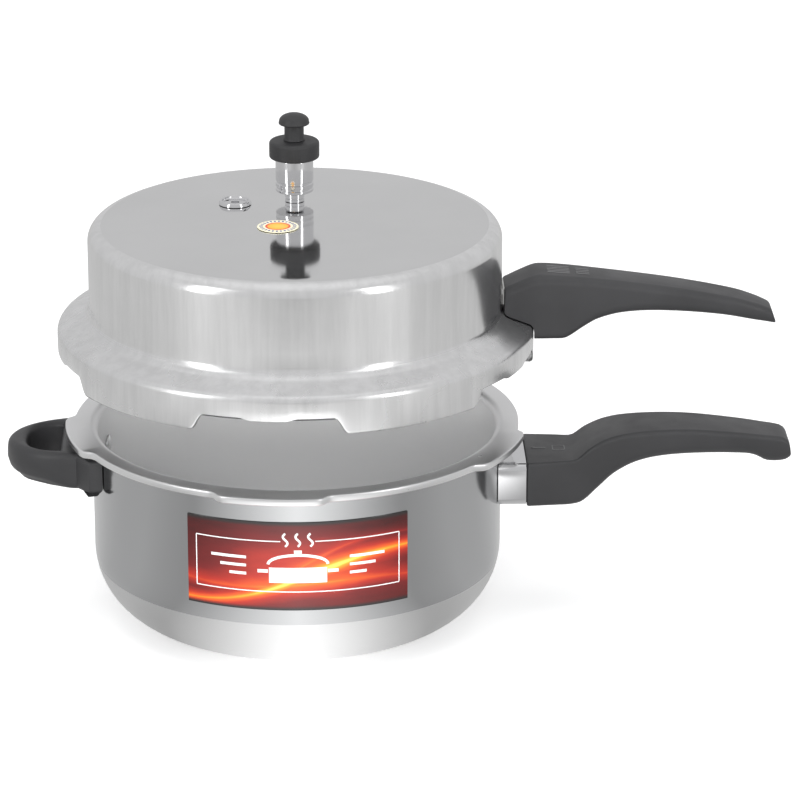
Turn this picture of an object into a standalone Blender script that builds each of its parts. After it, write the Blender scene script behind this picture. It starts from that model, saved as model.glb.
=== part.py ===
"""Stovetop pressure cooker: pan, outer lid, sealing ring, valves, handles and whistle weight.

Metres, +Z up. The origin is the centre of the pan's flat underside, on the pan's axis, and +X
runs along the long handles. The lid stands raised above the pan at rest.
"""
from math import asin, ceil, cos, degrees, hypot, pi, radians, sin, sqrt, tan

import bmesh
import bpy
from mathutils import Matrix, Vector

MM = 0.001
GAP = 0.3 * MM                     # between pieces that touch
HOLE_GAP = 0.3 * MM                # round a shank, a screw or a tongue

# Pan
POT_RADIUS = 110 * MM
POT_HEIGHT = 109 * MM
POT_WALL = 3 * MM
BASE_CORNER = 40.5 * MM
RIM_THICKNESS = 4 * MM
RIM_WIDTH = 9.5 * MM               # beyond the wall, between the lugs
LUG_REACH = 4.8 * MM               # beyond the rim
LUG_COUNT = 5
LUG_FIRST = radians(-96.7)
LUG_HALF = radians(12)             # full width on each side of a lug's middle
LUG_END = radians(3)               # where a lug fades into the rim

# Lid
LID_RAISED = 42 * MM               # above its closed place
LID_WALL = 2.4 * MM
LID_TOP = 68 * MM                  # above the pan's rim when closed
DOME_SHOULDER = 8 * MM
DOME_FOOT = 7 * MM                 # fillet between dome and flange
FLANGE_SLOPE = radians(20)
SKIRT_BEND = 4 * MM
SKIRT_BEND_HEIGHT = 10.5 * MM      # centre of the bend above the rim when closed
SKIRT_GAP = 0.6 * MM               # lug to skirt
LIP_GAP = 0.6 * MM                 # lug's underside to claw
LIP_SIDE_GAP = 0.7 * MM            # rim's edge to claw
WINDOW_EDGE = 2 * MM               # skirt's edge above the rim, between the claws
WINDOW_SIDE_GAP = radians(0.8)     # lug's end to claw
CLAW_DROP = radians(2)             # where the skirt comes down to a claw
CLAW_FADE = radians(2)             # where the claw's lip comes in

# Sealing ring
RING_WIDTH = 12.4 * MM
RING_LIP = 2.2 * MM
RING_BACK = 4 * MM
RING_GAP = 0.4 * MM                # to the rim under it
RING_SIDE_GAP = 0.5 * MM
RING_TOP_GAP = 0.6 * MM

# Long handle on the pan
BODY_TONGUE_DEPTH = 32.5 * MM      # middle of the tongue below the rim
FERRULE_TOP = 19.4 * MM            # below the rim
FERRULE_BOTTOM = 43.3 * MM
FERRULE_LENGTH = 13 * MM           # beyond the wall, as all reaches here are
FERRULE_WIDTH = 48 * MM
FERRULE_WALL = 1.4 * MM
FERRULE_ROUND = 4 * MM
BRACKET_THICKNESS = 1.8 * MM
TONGUE_THICKNESS = 3 * MM
BODY_TONGUE_WIDTH = 18 * MM
BODY_TONGUE_REACH = 37 * MM
BODY_SCREW_REACH = 28 * MM
BODY_BLOCK_REACH = 39 * MM         # the handle's square root
BODY_HANDLE_REACH = 157 * MM

# Long handle on the lid
LID_TONGUE_HEIGHT = 25.5 * MM      # middle of the tongue above the rim when closed
LID_TONGUE_THICKNESS = 2.2 * MM
LID_TONGUE_WIDTH = 13 * MM
LID_TONGUE_REACH = 31 * MM
LID_SCREW_REACH = 24.5 * MM
LID_BLOCK_REACH = 33 * MM
LID_PLATE_TOP = 33 * MM
LID_PLATE_WIDTH = 18 * MM
LID_NOTCH_TOP = 23.0 * MM
LID_HANDLE_REACH = 147 * MM

# Screws, nuts and rivets
SCREW_RADIUS = 2 * MM
SCREW_HEAD_RADIUS = 3.8 * MM
SCREW_HEAD = 2.6 * MM
NUT_WIDTH = 7 * MM
NUT_HEIGHT = 3 * MM
RIVET_RADIUS = 2.5 * MM
RIVET_HEAD = 5 * MM
SMALL_RIVET_RADIUS = 1.6 * MM
SMALL_RIVET_HEAD = 2.7 * MM
RIVET_HEAD_HEIGHT = 1.5 * MM

# Helper handle
HELPER_TOP = 9 * MM                # below the rim
HELPER_BOTTOM = 29 * MM
HELPER_REACH = 46 * MM             # beyond the wall
HELPER_WIDTH = 62 * MM
HELPER_GRIP = 11 * MM              # thickness of the loop in plan
HELPER_PAD = 6 * MM
HELPER_ROOT = 8 * MM               # solid stretch between the pad and the finger hole
HELPER_PAD_HALF = radians(20)
HELPER_ROUND = 3 * MM              # edge rounding, less than the pad's end is thick
HELPER_RIVET_ANGLE = radians(15)
HELPER_RIVET_DEPTH = 24 * MM
HELPER_PLATE_HALF = radians(17.5)

# Vent, weight and safety plug, heights above the lid's top
VENT_PLACE = Vector((0, 39.5 * MM, 0))
VENT_BORE = 1.7 * MM
VENT_THREAD = 4 * MM
VENT_COLLAR = 5.25 * MM
VENT_COLLAR_HEIGHT = 5.2 * MM
VENT_NOZZLE = 3.5 * MM
VENT_NOZZLE_TOP = 16 * MM
WEIGHT_RADIUS = 10.2 * MM
WEIGHT_FOOT = 5.7 * MM
WEIGHT_BORE_TOP = 19.2 * MM
WEIGHT_TOP = 24 * MM
WEIGHT_BORE_GAP = 0.6 * MM
CAP_RADIUS = 13.5 * MM
CAP_HEIGHT = 9.7 * MM
KNOB_RADIUS = 8.3 * MM
KNOB_STEM = 5.25 * MM
KNOB_STEM_HEIGHT = 6.7 * MM
KNOB_HEIGHT = 8 * MM
KNOB_SHANK = 3.7 * MM
KNOB_SHANK_DEPTH = 2.7 * MM
NEEDLE_RADIUS = 1.2 * MM
NEEDLE_HEAD = 3.5 * MM
NEEDLE_HEAD_HEIGHT = 1.6 * MM
NEEDLE_LENGTH = 3.5 * MM
SAFETY_PLACE = Vector((-32 * MM, 34 * MM, 0))
SAFETY_HEAD = 8.75 * MM
SAFETY_HEAD_HEIGHT = 2.4 * MM
SAFETY_SHANK = 5 * MM
SAFETY_BORE = 2.2 * MM
WASHER_HEIGHT = 1.4 * MM
WASHER_MARGIN = 3.4 * MM           # beyond the shank
CLAMP_NUT_WIDTH_MARGIN = 5 * MM
CLAMP_NUT_HEIGHT = 4 * MM

# Label and sticker
LABEL_THICKNESS = 0.3 * MM
LABEL_TOP = 18 * MM                # below the rim
LABEL_HEIGHT = 48.8 * MM
LABEL_WIDTH = 122.5 * MM           # round the wall
STICKER_PLACE = Vector((-9 * MM, -9 * MM, 0))
STICKER_RADIUS = 11 * MM

# Sizes worked out from the ones above
RIM_RADIUS = POT_RADIUS + RIM_WIDTH
LUG_RADIUS = RIM_RADIUS + LUG_REACH
SKIRT_INSIDE = LUG_RADIUS + SKIRT_GAP
SKIRT_OUTSIDE = SKIRT_INSIDE + LID_WALL
LIP_INSIDE = RIM_RADIUS + LIP_SIDE_GAP
LIP_TOP = -RIM_THICKNESS - LIP_GAP
LIP_BOTTOM = LIP_TOP - LID_WALL
LUG_PITCH = 2 * pi / LUG_COUNT
DOME_RADIUS = POT_RADIUS                    # the dome stands straight above the pan's wall
FERRULE_END = POT_RADIUS + FERRULE_LENGTH
BODY_TONGUE_END = POT_RADIUS + BODY_TONGUE_REACH
BODY_SCREW_X = POT_RADIUS + BODY_SCREW_REACH
LID_TONGUE_END = POT_RADIUS + LID_TONGUE_REACH
LID_SCREW_X = POT_RADIUS + LID_SCREW_REACH
LID_ZERO = POT_HEIGHT + LID_RAISED          # where the closed lid's rim height comes at rest
LID_FACE = LID_ZERO + LID_TOP
PLATE_INSIDE = POT_RADIUS + GAP
PLATE_OUTSIDE = PLATE_INSIDE + BRACKET_THICKNESS
WEIGHT_BORE = VENT_NOZZLE + WEIGHT_BORE_GAP

ROUND_STEPS = 24
SMALL_STEPS = 14
HOLE_STEPS = 14
UP = Vector((0, 0, 1))


# ---------------------------------------------------------------- helpers

def clear_scene():
    for thing in list(bpy.data.objects):
        bpy.data.objects.remove(thing, do_unlink=True)


def new_collection(name):
    group = bpy.data.collections.new(name)
    bpy.context.scene.collection.children.link(group)
    return group


clear_scene()
PARTS = new_collection("pressure_cooker")
CUTTERS = new_collection("cutters")


def new_material(name, colour, roughness, metallic):
    finish = bpy.data.materials.new(name)
    finish.use_nodes = True
    shader = finish.node_tree.nodes["Principled BSDF"]
    shader.inputs["Base Color"].default_value = (*colour, 1)
    shader.inputs["Roughness"].default_value = roughness
    shader.inputs["Metallic"].default_value = metallic
    return finish


def place(name, mesh, finish, group=PARTS):
    piece = bpy.data.objects.new(name, mesh)
    group.objects.link(piece)
    if finish:
        mesh.materials.append(finish)
    return piece


def finish_mesh(shape, name, smooth_below=radians(35)):
    """A bmesh made a closed mesh whose faces point out."""
    bmesh.ops.remove_doubles(shape, verts=shape.verts, dist=0.001 * MM)
    bmesh.ops.recalc_face_normals(shape, faces=shape.faces)
    mesh = bpy.data.meshes.new(name)
    shape.to_mesh(mesh)
    shape.free()
    mesh.shade_smooth()
    mesh.set_sharp_from_angle(angle=smooth_below)
    return mesh


def arc(centre, radius, start, end, steps):
    """Points of an arc in a section, angles in degrees."""
    turn = [radians(start + (end - start) * i / steps) for i in range(steps + 1)]
    return [(centre[0] + radius * cos(a), centre[1] + radius * sin(a)) for a in turn]


def loft(name, rings, finish, closed_path=False, group=PARTS):
    """A closed body through rings of points; a path that doesn't close gets end caps."""
    shape = bmesh.new()
    loops = [[shape.verts.new(p) for p in ring] for ring in rings]
    after = loops[1:] + loops[:1] if closed_path else loops[1:]
    for ring, following in zip(loops, after):
        for i in range(len(ring)):
            j = (i + 1) % len(ring)
            corners = (ring[i], ring[j], following[j], following[i])
            if (ring[i].co - ring[j].co).length > GAP * 0.01 or \
                    (following[i].co - following[j].co).length > GAP * 0.01:
                shape.faces.new(corners)
    if not closed_path:
        shape.faces.new(loops[0])
        shape.faces.new(loops[-1])
    return place(name, finish_mesh(shape, name), finish, group)


def swept(name, section_at, angles, finish):
    """The outline section_at(angle) of (radius, height) points, carried right round the axis."""
    rings = [[(r * cos(a), r * sin(a), z) for r, z in section_at(a)] for a in angles]
    # An outline that ends on the axis closes there by itself.
    shape = bmesh.new()
    loops = [[shape.verts.new(p) for p in ring] for ring in rings]
    for ring, following in zip(loops, loops[1:] + loops[:1]):
        for i in range(len(ring)):
            j = (i + 1) % len(ring)
            on_axis = hypot(*ring[i].co.xy) < GAP and hypot(*ring[j].co.xy) < GAP
            if not on_axis:
                shape.faces.new((ring[i], ring[j], following[j], following[i]))
    return place(name, finish_mesh(shape, name), finish)


def turned(name, profile, finish, at=(0, 0, 0), steps=ROUND_STEPS, turn=None, group=PARTS):
    """A profile of (radius, height) points, outer side top to bottom, turned by a Screw modifier.

    A profile that starts and ends on the axis is a solid; any other is closed into a ring."""
    mesh = bpy.data.meshes.new(name)
    count = len(profile)
    edges = [(i, i + 1) for i in range(count - 1)]
    if profile[0][0] > 0 or profile[-1][0] > 0:
        edges.append((count - 1, 0))
    mesh.from_pydata([(r, 0, z) for r, z in profile], edges, [])
    piece = place(name, mesh, finish, group)
    screw = piece.modifiers.new("turn", "SCREW")
    screw.steps = screw.render_steps = steps
    screw.use_merge_vertices = True
    screw.merge_threshold = 0.001 * MM
    screw.use_smooth_shade = True
    if turn:
        piece.rotation_euler = turn
    piece.location = at
    return piece


def annular_sector(name, inside, outside, middle, half, low, high, finish, step=radians(4)):
    """A curved plate round the pan's axis."""
    steps = max(2, ceil(2 * half / step))
    rings = []
    for i in range(steps + 1):
        a = middle - half + 2 * half * i / steps
        corners = ((inside, low), (outside, low), (outside, high), (inside, high))
        rings.append([(r * cos(a), r * sin(a), z) for r, z in corners])
    return loft(name, rings, finish)


def box(name, low, high, finish=None, group=PARTS):
    shape = bmesh.new()
    bmesh.ops.create_cube(shape, size=1)
    size = Vector(high) - Vector(low)
    middle = (Vector(high) + Vector(low)) / 2
    bmesh.ops.transform(shape, matrix=Matrix.Translation(middle) @ Matrix.Diagonal((*size, 1)),
                        verts=shape.verts)
    return place(name, finish_mesh(shape, name), finish, group)


def cylinder(name, radius, low, high, along=UP, steps=HOLE_STEPS, finish=None, group=PARTS):
    """A round rod from low, high long, along a direction."""
    shape = bmesh.new()
    bmesh.ops.create_cone(shape, cap_ends=True, segments=steps, radius1=radius, radius2=radius,
                          depth=high)
    turn = Vector(along).to_track_quat("Z", "Y").to_matrix().to_4x4()
    shift = Matrix.Translation(Vector(low)) @ turn @ Matrix.Translation((0, 0, high / 2))
    bmesh.ops.transform(shape, matrix=shift, verts=shape.verts)
    return place(name, finish_mesh(shape, name), finish, group)


def combine(piece, other, operation):
    step = piece.modifiers.new(other.name, "BOOLEAN")
    step.operation = operation
    step.solver = "EXACT"
    step.object = other
    other.hide_render = True
    other.display_type = "WIRE"


def cut(piece, *cutters):
    for cutter in cutters:
        combine(piece, cutter, "DIFFERENCE")


def cut_box(piece, name, low, high):
    cut(piece, box(name, low, high, group=CUTTERS))


def cut_round(piece, name, radius, low, length, along=UP, steps=HOLE_STEPS):
    cut(piece, cylinder(name, radius, low, length, along, steps, group=CUTTERS))


def join(piece, other):
    """Welds another shape to a piece; the other shape goes with the cutters."""
    PARTS.objects.unlink(other)
    CUTTERS.objects.link(other)
    combine(piece, other, "UNION")


def radial(angle):
    return Vector((cos(angle), sin(angle), 0))


def facing(angle):
    """Turns a piece's own +Z to point outwards from the pan at an angle."""
    return (0, pi / 2, angle)


# ---------------------------------------------------------------- materials

ALUMINIUM = new_material("polished_aluminium", (0.80, 0.80, 0.80), 0.18, 1)
STEEL = new_material("bright_steel", (0.72, 0.72, 0.72), 0.15, 1)
ZINC = new_material("zinc_plated_steel", (0.62, 0.62, 0.60), 0.35, 1)
PHENOLIC = new_material("black_phenolic", (0.045, 0.045, 0.047), 0.42, 0)
RUBBER = new_material("grey_rubber", (0.10, 0.10, 0.10), 0.7, 0)
LABEL = new_material("printed_label", (0.45, 0.03, 0.02), 0.3, 0)
STICKER = new_material("paper_sticker", (0.85, 0.78, 0.55), 0.5, 0)
ALLOY = new_material("fusible_alloy", (0.5, 0.5, 0.52), 0.5, 1)


# ---------------------------------------------------------------- pan

def from_nearest_lug(angle):
    """The angle to the middle of the nearest lug."""
    turns = (angle - LUG_FIRST) / LUG_PITCH
    return abs(turns - round(turns)) * LUG_PITCH


def rim_angles():
    """Angles round the rim, with one at each corner of the lugs and the claws."""
    lug_end = LUG_HALF + LUG_END
    claw_start = lug_end + WINDOW_SIDE_GAP
    claw_low = claw_start + CLAW_DROP
    claw_full = claw_low + CLAW_FADE
    half = LUG_PITCH / 2
    spread = (claw_full + half) / 2
    side = [LUG_HALF / 2, LUG_HALF, lug_end, claw_start, claw_low, claw_full, spread]
    offsets = [-a for a in reversed(side)] + [0] + side + [half]
    return [LUG_FIRST + LUG_PITCH * k + a for k in range(LUG_COUNT) for a in offsets]


def pot_section(angle):
    """The pan's wall from the middle of its underside, up the outside and down the inside."""
    fade = (from_nearest_lug(angle) - LUG_HALF) / LUG_END
    edge = LUG_RADIUS - LUG_REACH * min(1, max(0, fade))
    flat = POT_RADIUS - BASE_CORNER
    under, top, ease = POT_HEIGHT - RIM_THICKNESS, POT_HEIGHT, 0.7 * MM
    neck = 2.5 * MM
    mouth = 3 * MM                                   # the soft edge inside the rim
    inside = POT_RADIUS - POT_WALL
    outline = [(0, 0)] + arc((flat, BASE_CORNER), BASE_CORNER, -90, 0, 7)
    outline += [(POT_RADIUS, under - neck), (POT_RADIUS + neck * 0.35, under - neck * 0.35),
                (POT_RADIUS + neck, under)]
    outline += [(edge - ease, under), (edge, under + ease), (edge, top - ease), (edge - ease, top)]
    outline += arc((inside + mouth, top - mouth), mouth, 90, 180, 2)
    outline += arc((flat, BASE_CORNER), BASE_CORNER - POT_WALL, 0, -90, 6)
    return outline + [(0, POT_WALL)]


def make_pot():
    pot = swept("pot_body", pot_section, rim_angles(), ALUMINIUM)
    for i, (angle, depth) in enumerate(rivet_places()):
        hole_low = radial(angle) * (POT_RADIUS - POT_WALL * 3) + UP * (POT_HEIGHT - depth)
        cut_round(pot, f"pot_rivet_hole_{i}", RIVET_RADIUS + HOLE_GAP, hole_low,
                  POT_WALL * 5, radial(angle))
    return pot


BODY_RIVET_ANGLE = asin((BODY_TONGUE_WIDTH / 2 + RIVET_HEAD) / POT_RADIUS)


def rivet_places():
    body = [(s * BODY_RIVET_ANGLE, BODY_TONGUE_DEPTH) for s in (-1, 1)]
    helper = [(pi + s * HELPER_RIVET_ANGLE, HELPER_RIVET_DEPTH) for s in (-1, 1)]
    return body + helper


def rivet_profile(shank, head, wall, plates):
    """A rivet along +Z with the wall's outer face at 0: a domed head inside, a flat one outside."""
    sag = head * head / (2 * (POT_RADIUS - wall))
    under = -wall - sag - GAP
    outer = plates + GAP
    rise = [(head * cos(a), under - RIVET_HEAD_HEIGHT * sin(a))
            for a in (0, radians(35), radians(65))]
    return [(0, outer + RIVET_HEAD_HEIGHT), (head * 0.8, outer + RIVET_HEAD_HEIGHT),
            (head, outer + RIVET_HEAD_HEIGHT * 0.6), (head, outer), (shank, outer),
            (shank, under), *rise, (0, under - RIVET_HEAD_HEIGHT)]


def make_rivets():
    names = ("body_rivet_front", "body_rivet_back", "helper_rivet_back", "helper_rivet_front")
    profile = rivet_profile(RIVET_RADIUS, RIVET_HEAD, POT_WALL, PLATE_OUTSIDE - POT_RADIUS)
    for name, (angle, depth) in zip(names, rivet_places()):
        spot = radial(angle) * POT_RADIUS + UP * (POT_HEIGHT - depth)
        turned(name, profile, ALUMINIUM, spot, SMALL_STEPS, facing(angle))


def make_label():
    annular_sector("front_label", POT_RADIUS + GAP, POT_RADIUS + GAP + LABEL_THICKNESS, -pi / 2,
                   LABEL_WIDTH / 2 / POT_RADIUS, POT_HEIGHT - LABEL_TOP - LABEL_HEIGHT, POT_HEIGHT - LABEL_TOP,
                   LABEL)


# ---------------------------------------------------------------- long handle on the pan

def rounded_box_ring(x, half_width, low, high, corner, steps=3):
    """A rounded rectangle across the handle at x, as points in space."""
    corners = ((1, 1, 0), (-1, 1, 90), (-1, -1, 180), (1, -1, 270))
    middle, half_height = (low + high) / 2, (high - low) / 2
    corner = min(corner, half_width * 0.9, half_height * 0.9)
    ring = []
    for side, rise, start in corners:
        centre = (side * (half_width - corner), middle + rise * (half_height - corner))
        ring += [(x, y, z) for y, z in arc(centre, corner, start, start + 90, steps)]
    return ring


def between(stations, x):
    """Straight interpolation in a list of (x, value)."""
    for (x0, v0), (x1, v1) in zip(stations, stations[1:]):
        if x <= x1:
            return v0 + (v1 - v0) * (x - x0) / (x1 - x0)
    return stations[-1][1]


def handle_rings(zero, start, block, reach, usual_reach, top, low, wide):
    """Sections of a handle from (mm beyond the wall, mm) lists; past its block it stretches to reach."""
    def stretched(stations):
        grip = (reach - block) / (usual_reach - block)
        return [(POT_RADIUS + (x * MM if x * MM <= block else block + (x * MM - block) * grip),
                 value * MM) for x, value in [(start / MM, stations[0][1]), *stations[1:]]]

    top, low, wide = stretched(top), stretched(low), stretched(wide)
    places = sorted({round(x, 6) for x, _ in top + low})
    return [rounded_box_ring(x, between(wide, x) / 2, zero + between(low, x),
                             zero + between(top, x), 5 * MM) for x in places]


def ferrule_rings(margin, start, end):
    half = FERRULE_WIDTH / 2 - margin
    low = POT_HEIGHT - FERRULE_BOTTOM + margin
    high = POT_HEIGHT - FERRULE_TOP - margin
    return [rounded_box_ring(x, half, low, high, FERRULE_ROUND - margin) for x in (start, end)]


def make_ferrule():
    start = POT_RADIUS * 0.9
    ferrule = loft("body_ferrule", ferrule_rings(0, start, FERRULE_END), STEEL)
    hollow = loft("ferrule_hollow", ferrule_rings(FERRULE_WALL, start - MM, FERRULE_END + MM),
                  None, group=CUTTERS)
    cut(ferrule, hollow)
    cut_round(ferrule, "ferrule_seat", PLATE_INSIDE, (0, 0, 0), POT_HEIGHT, steps=128)


def make_body_bracket():
    margin = FERRULE_WALL + (FERRULE_ROUND - FERRULE_WALL) * 0.5
    half = asin((FERRULE_WIDTH / 2 - margin) / PLATE_OUTSIDE)
    middle = POT_HEIGHT - BODY_TONGUE_DEPTH
    bracket = annular_sector("body_bracket", PLATE_INSIDE, PLATE_OUTSIDE, 0, half,
                             POT_HEIGHT - FERRULE_BOTTOM + margin,
                             POT_HEIGHT - FERRULE_TOP - margin, ZINC)
    tongue = box("body_tongue",
                 (PLATE_OUTSIDE - BRACKET_THICKNESS / 2, -BODY_TONGUE_WIDTH / 2,
                  middle - TONGUE_THICKNESS / 2),
                 (BODY_TONGUE_END, BODY_TONGUE_WIDTH / 2, middle + TONGUE_THICKNESS / 2))
    join(bracket, tongue)
    for side in (-1, 1):
        angle = side * BODY_RIVET_ANGLE
        cut_round(bracket, f"bracket_hole_{side}", RIVET_RADIUS + HOLE_GAP,
                  radial(angle) * (POT_RADIUS - POT_WALL) + UP * middle, 4 * POT_WALL,
                  radial(angle))
    cut_round(bracket, "bracket_screw_hole", SCREW_RADIUS + HOLE_GAP,
              (BODY_SCREW_X, 0, middle - 2 * TONGUE_THICKNESS), 4 * TONGUE_THICKNESS)


def body_handle_rings():
    """Sections of the handle: the block at its root, the rise, the long grip and the tip hook."""
    root = 13
    top = [(root, -19.0), (39, -18.6), (41.5, -16.8), (47, -12.7), (56, -8.0), (67, -5.3),
           (86, -3.7), (104, -4.0), (125, -6.0), (142, -8.0), (157, -10.2)]
    low = [(root, -44.2), (39, -44.7), (43.6, -43.5), (51.6, -36.8), (60.6, -28.9), (72, -22.9),
           (86, -19.4), (108, -18.4), (134, -19.3), (143.4, -24.2), (154, -24.2), (157, -21.0)]
    wide = [(root, 50), (39, 43), (56, 38), (86, 34), (130, 29), (157, 25)]
    return handle_rings(POT_HEIGHT, FERRULE_LENGTH + GAP, BODY_BLOCK_REACH, BODY_HANDLE_REACH,
                        157 * MM, top, low, wide)


def screw_profile(length):
    """A pan-head screw along +Z with its head's underside at 0."""
    return [(0, length), (SCREW_RADIUS * 0.7, length), (SCREW_RADIUS, length - 0.6 * MM),
            (SCREW_RADIUS, 0), (SCREW_HEAD_RADIUS, 0), (SCREW_HEAD_RADIUS, -SCREW_HEAD * 0.6),
            (SCREW_HEAD_RADIUS * 0.75, -SCREW_HEAD), (0, -SCREW_HEAD)]


def hex_nut(name, width, bore, height, at, finish):
    nut = cylinder(name, width / sqrt(3), at, height, steps=6, finish=finish)
    cut_round(nut, f"{name}_bore", bore, Vector(at) - UP * height, 3 * height)
    return nut


def fasten(handle, name, x, tongue_middle, tongue_thickness, handle_low, recess):
    """Slots a handle for a tongue's screw and nut, and adds them."""
    under = tongue_middle - tongue_thickness / 2
    over = tongue_middle + tongue_thickness / 2
    seat = handle_low + recess
    nut_low = over + GAP
    length = nut_low + NUT_HEIGHT + 1 * MM - seat - GAP
    cut_round(handle, f"{name}_screw_way", SCREW_RADIUS + HOLE_GAP, (x, 0, handle_low - MM),
              under - handle_low + 2 * MM)
    cut_round(handle, f"{name}_head_way", SCREW_HEAD_RADIUS + HOLE_GAP,
              (x, 0, handle_low - 2 * MM), recess + 2 * MM)
    cut_round(handle, f"{name}_nut_way", NUT_WIDTH / sqrt(3) + HOLE_GAP, (x, 0, under),
              over - under + NUT_HEIGHT + 2.2 * MM)
    turned(f"{name}_screw", screw_profile(length), ZINC, (x, 0, seat - GAP), SMALL_STEPS)
    hex_nut(f"{name}_nut", NUT_WIDTH, SCREW_RADIUS + HOLE_GAP, NUT_HEIGHT, (x, 0, nut_low), ZINC)


def make_body_handle():
    handle = loft("body_handle", body_handle_rings(), PHENOLIC)
    middle = POT_HEIGHT - BODY_TONGUE_DEPTH
    half = TONGUE_THICKNESS / 2 + HOLE_GAP
    cut_box(handle, "body_tongue_way",
            (POT_RADIUS, -BODY_TONGUE_WIDTH / 2 - HOLE_GAP, middle - half),
            (BODY_TONGUE_END + HOLE_GAP, BODY_TONGUE_WIDTH / 2 + HOLE_GAP, middle + half))
    fasten(handle, "body_handle", BODY_SCREW_X, middle, TONGUE_THICKNESS,
           POT_HEIGHT - 44.7 * MM, 5 * MM)


# ---------------------------------------------------------------- helper handle

def helper_outline():
    """The loop in plan, towards -X: an arc on the wall, a pad, and a half ellipse round it."""
    seat = PLATE_OUTSIDE + GAP
    pad = seat + HELPER_PAD
    half_width = HELPER_WIDTH / 2
    shoulder = -sqrt(pad * pad - half_width * half_width) - 3 * MM
    reach = HELPER_REACH + POT_RADIUS + shoulder
    inner = [(-seat * cos(a), seat * sin(a)) for a in
             (HELPER_PAD_HALF * (1 - i / 5) for i in range(11))]
    loop = [(shoulder - reach * sin(a), -half_width * cos(a)) for a in
            (pi * i / 16 for i in range(17))]
    corner = HELPER_PAD_HALF * 0.99
    start = [(-(pad - 2 * MM) * cos(corner), -(pad - 2 * MM) * sin(corner))]
    end = [(-(pad - 2 * MM) * cos(corner), (pad - 2 * MM) * sin(corner))]
    return inner + start + loop + end


def helper_hole():
    """The finger hole in plan: flat against the pad, round on the outside."""
    back = PLATE_OUTSIDE + GAP + HELPER_PAD + HELPER_ROOT
    half_width = HELPER_WIDTH / 2 - HELPER_GRIP * 0.86
    reach = HELPER_REACH + POT_RADIUS - HELPER_GRIP - back
    return [(-back - reach * max(0, sin(a)) ** 0.8, -half_width * cos(a) / max(abs(cos(a)), 1e-9)
             * abs(cos(a)) ** 0.8) for a in (pi * i / 14 for i in range(15))]


def flat_plate(name, outlines, low, high, finish, group=PARTS):
    """A flat outline, with holes, extruded between two heights and made a mesh."""
    curve = bpy.data.curves.new(name, "CURVE")
    curve.dimensions = "2D"
    curve.fill_mode = "BOTH"
    curve.extrude = (high - low) / 2
    for points in outlines:
        line = curve.splines.new("POLY")
        line.points.add(len(points) - 1)
        for spot, (x, y) in zip(line.points, points):
            spot.co = (x, y, 0, 1)
        line.use_cyclic_u = True
    guide = bpy.data.objects.new(f"{name}_outline", curve)
    guide.location = (0, 0, (low + high) / 2)
    bpy.context.scene.collection.objects.link(guide)
    bpy.context.view_layer.update()
    evaluated = guide.evaluated_get(bpy.context.evaluated_depsgraph_get())
    shape = bmesh.new()
    shape.from_mesh(bpy.data.meshes.new_from_object(evaluated))
    bmesh.ops.transform(shape, matrix=guide.matrix_world, verts=shape.verts)
    bpy.data.objects.remove(guide)
    return place(name, finish_mesh(shape, name), finish, group)


def make_helper_handle():
    low, high = POT_HEIGHT - HELPER_BOTTOM, POT_HEIGHT - HELPER_TOP
    handle = flat_plate("helper_handle", [helper_outline(), helper_hole()], low, high, PHENOLIC)
    soften = handle.modifiers.new("round", "BEVEL")
    soften.width = HELPER_ROUND
    soften.segments = 2
    soften.limit_method = "ANGLE"
    soften.angle_limit = radians(60)
    for side in (-1, 1):
        angle = pi + side * HELPER_RIVET_ANGLE
        cut_round(handle, f"helper_head_way_{side}", RIVET_HEAD + GAP,
                  radial(angle) * PLATE_INSIDE + UP * (POT_HEIGHT - HELPER_RIVET_DEPTH),
                  BRACKET_THICKNESS + RIVET_HEAD_HEIGHT + 3 * GAP, radial(angle))
    middle = (low + high) / 2
    stud_end = PLATE_OUTSIDE + HELPER_PAD
    cut_round(handle, "helper_screw_way", SCREW_RADIUS + HOLE_GAP, (-POT_RADIUS, 0, middle),
              HELPER_REACH / 2, -Vector((1, 0, 0)))
    turned("helper_screw", screw_profile(stud_end - PLATE_INSIDE - GAP + 2 * MM), ZINC,
           (-stud_end - 2.6 * MM, 0, middle), SMALL_STEPS, (0, pi / 2, 0))
    cut_round(handle, "helper_screw_seat", SCREW_HEAD_RADIUS + HOLE_GAP,
              (-stud_end - 2.3 * MM, 0, middle), HELPER_REACH / 3, -Vector((1, 0, 0)))


def make_helper_bracket():
    bracket = annular_sector("helper_bracket", PLATE_INSIDE, PLATE_OUTSIDE, pi, HELPER_PLATE_HALF,
                             POT_HEIGHT - HELPER_BOTTOM + GAP,
                             POT_HEIGHT - HELPER_TOP - 2 * MM, ZINC)
    for side in (-1, 1):
        angle = pi + side * HELPER_RIVET_ANGLE
        cut_round(bracket, f"helper_plate_hole_{side}", RIVET_RADIUS + HOLE_GAP,
                  radial(angle) * (POT_RADIUS - POT_WALL)
                  + UP * (POT_HEIGHT - HELPER_RIVET_DEPTH), 4 * POT_WALL, radial(angle))
    cut_round(bracket, "helper_plate_screw_hole", SCREW_RADIUS + HOLE_GAP,
              (-POT_RADIUS, 0, POT_HEIGHT - (HELPER_TOP + HELPER_BOTTOM) / 2), 5 * MM,
              -Vector((1, 0, 0)))


# ---------------------------------------------------------------- lid

def flange_foot():
    """Height of the dome's foot, where the sloping flange meets its fillet."""
    bend = (SKIRT_OUTSIDE - SKIRT_BEND, SKIRT_BEND_HEIGHT)
    turn = pi / 2 - FLANGE_SLOPE
    edge = (bend[0] + SKIRT_BEND * cos(turn), bend[1] + SKIRT_BEND * sin(turn))
    inner_r = DOME_RADIUS + DOME_FOOT * (1 - cos(turn))
    return edge[1] + (edge[0] - inner_r) * tan(FLANGE_SLOPE) + DOME_FOOT * sin(turn)


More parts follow.
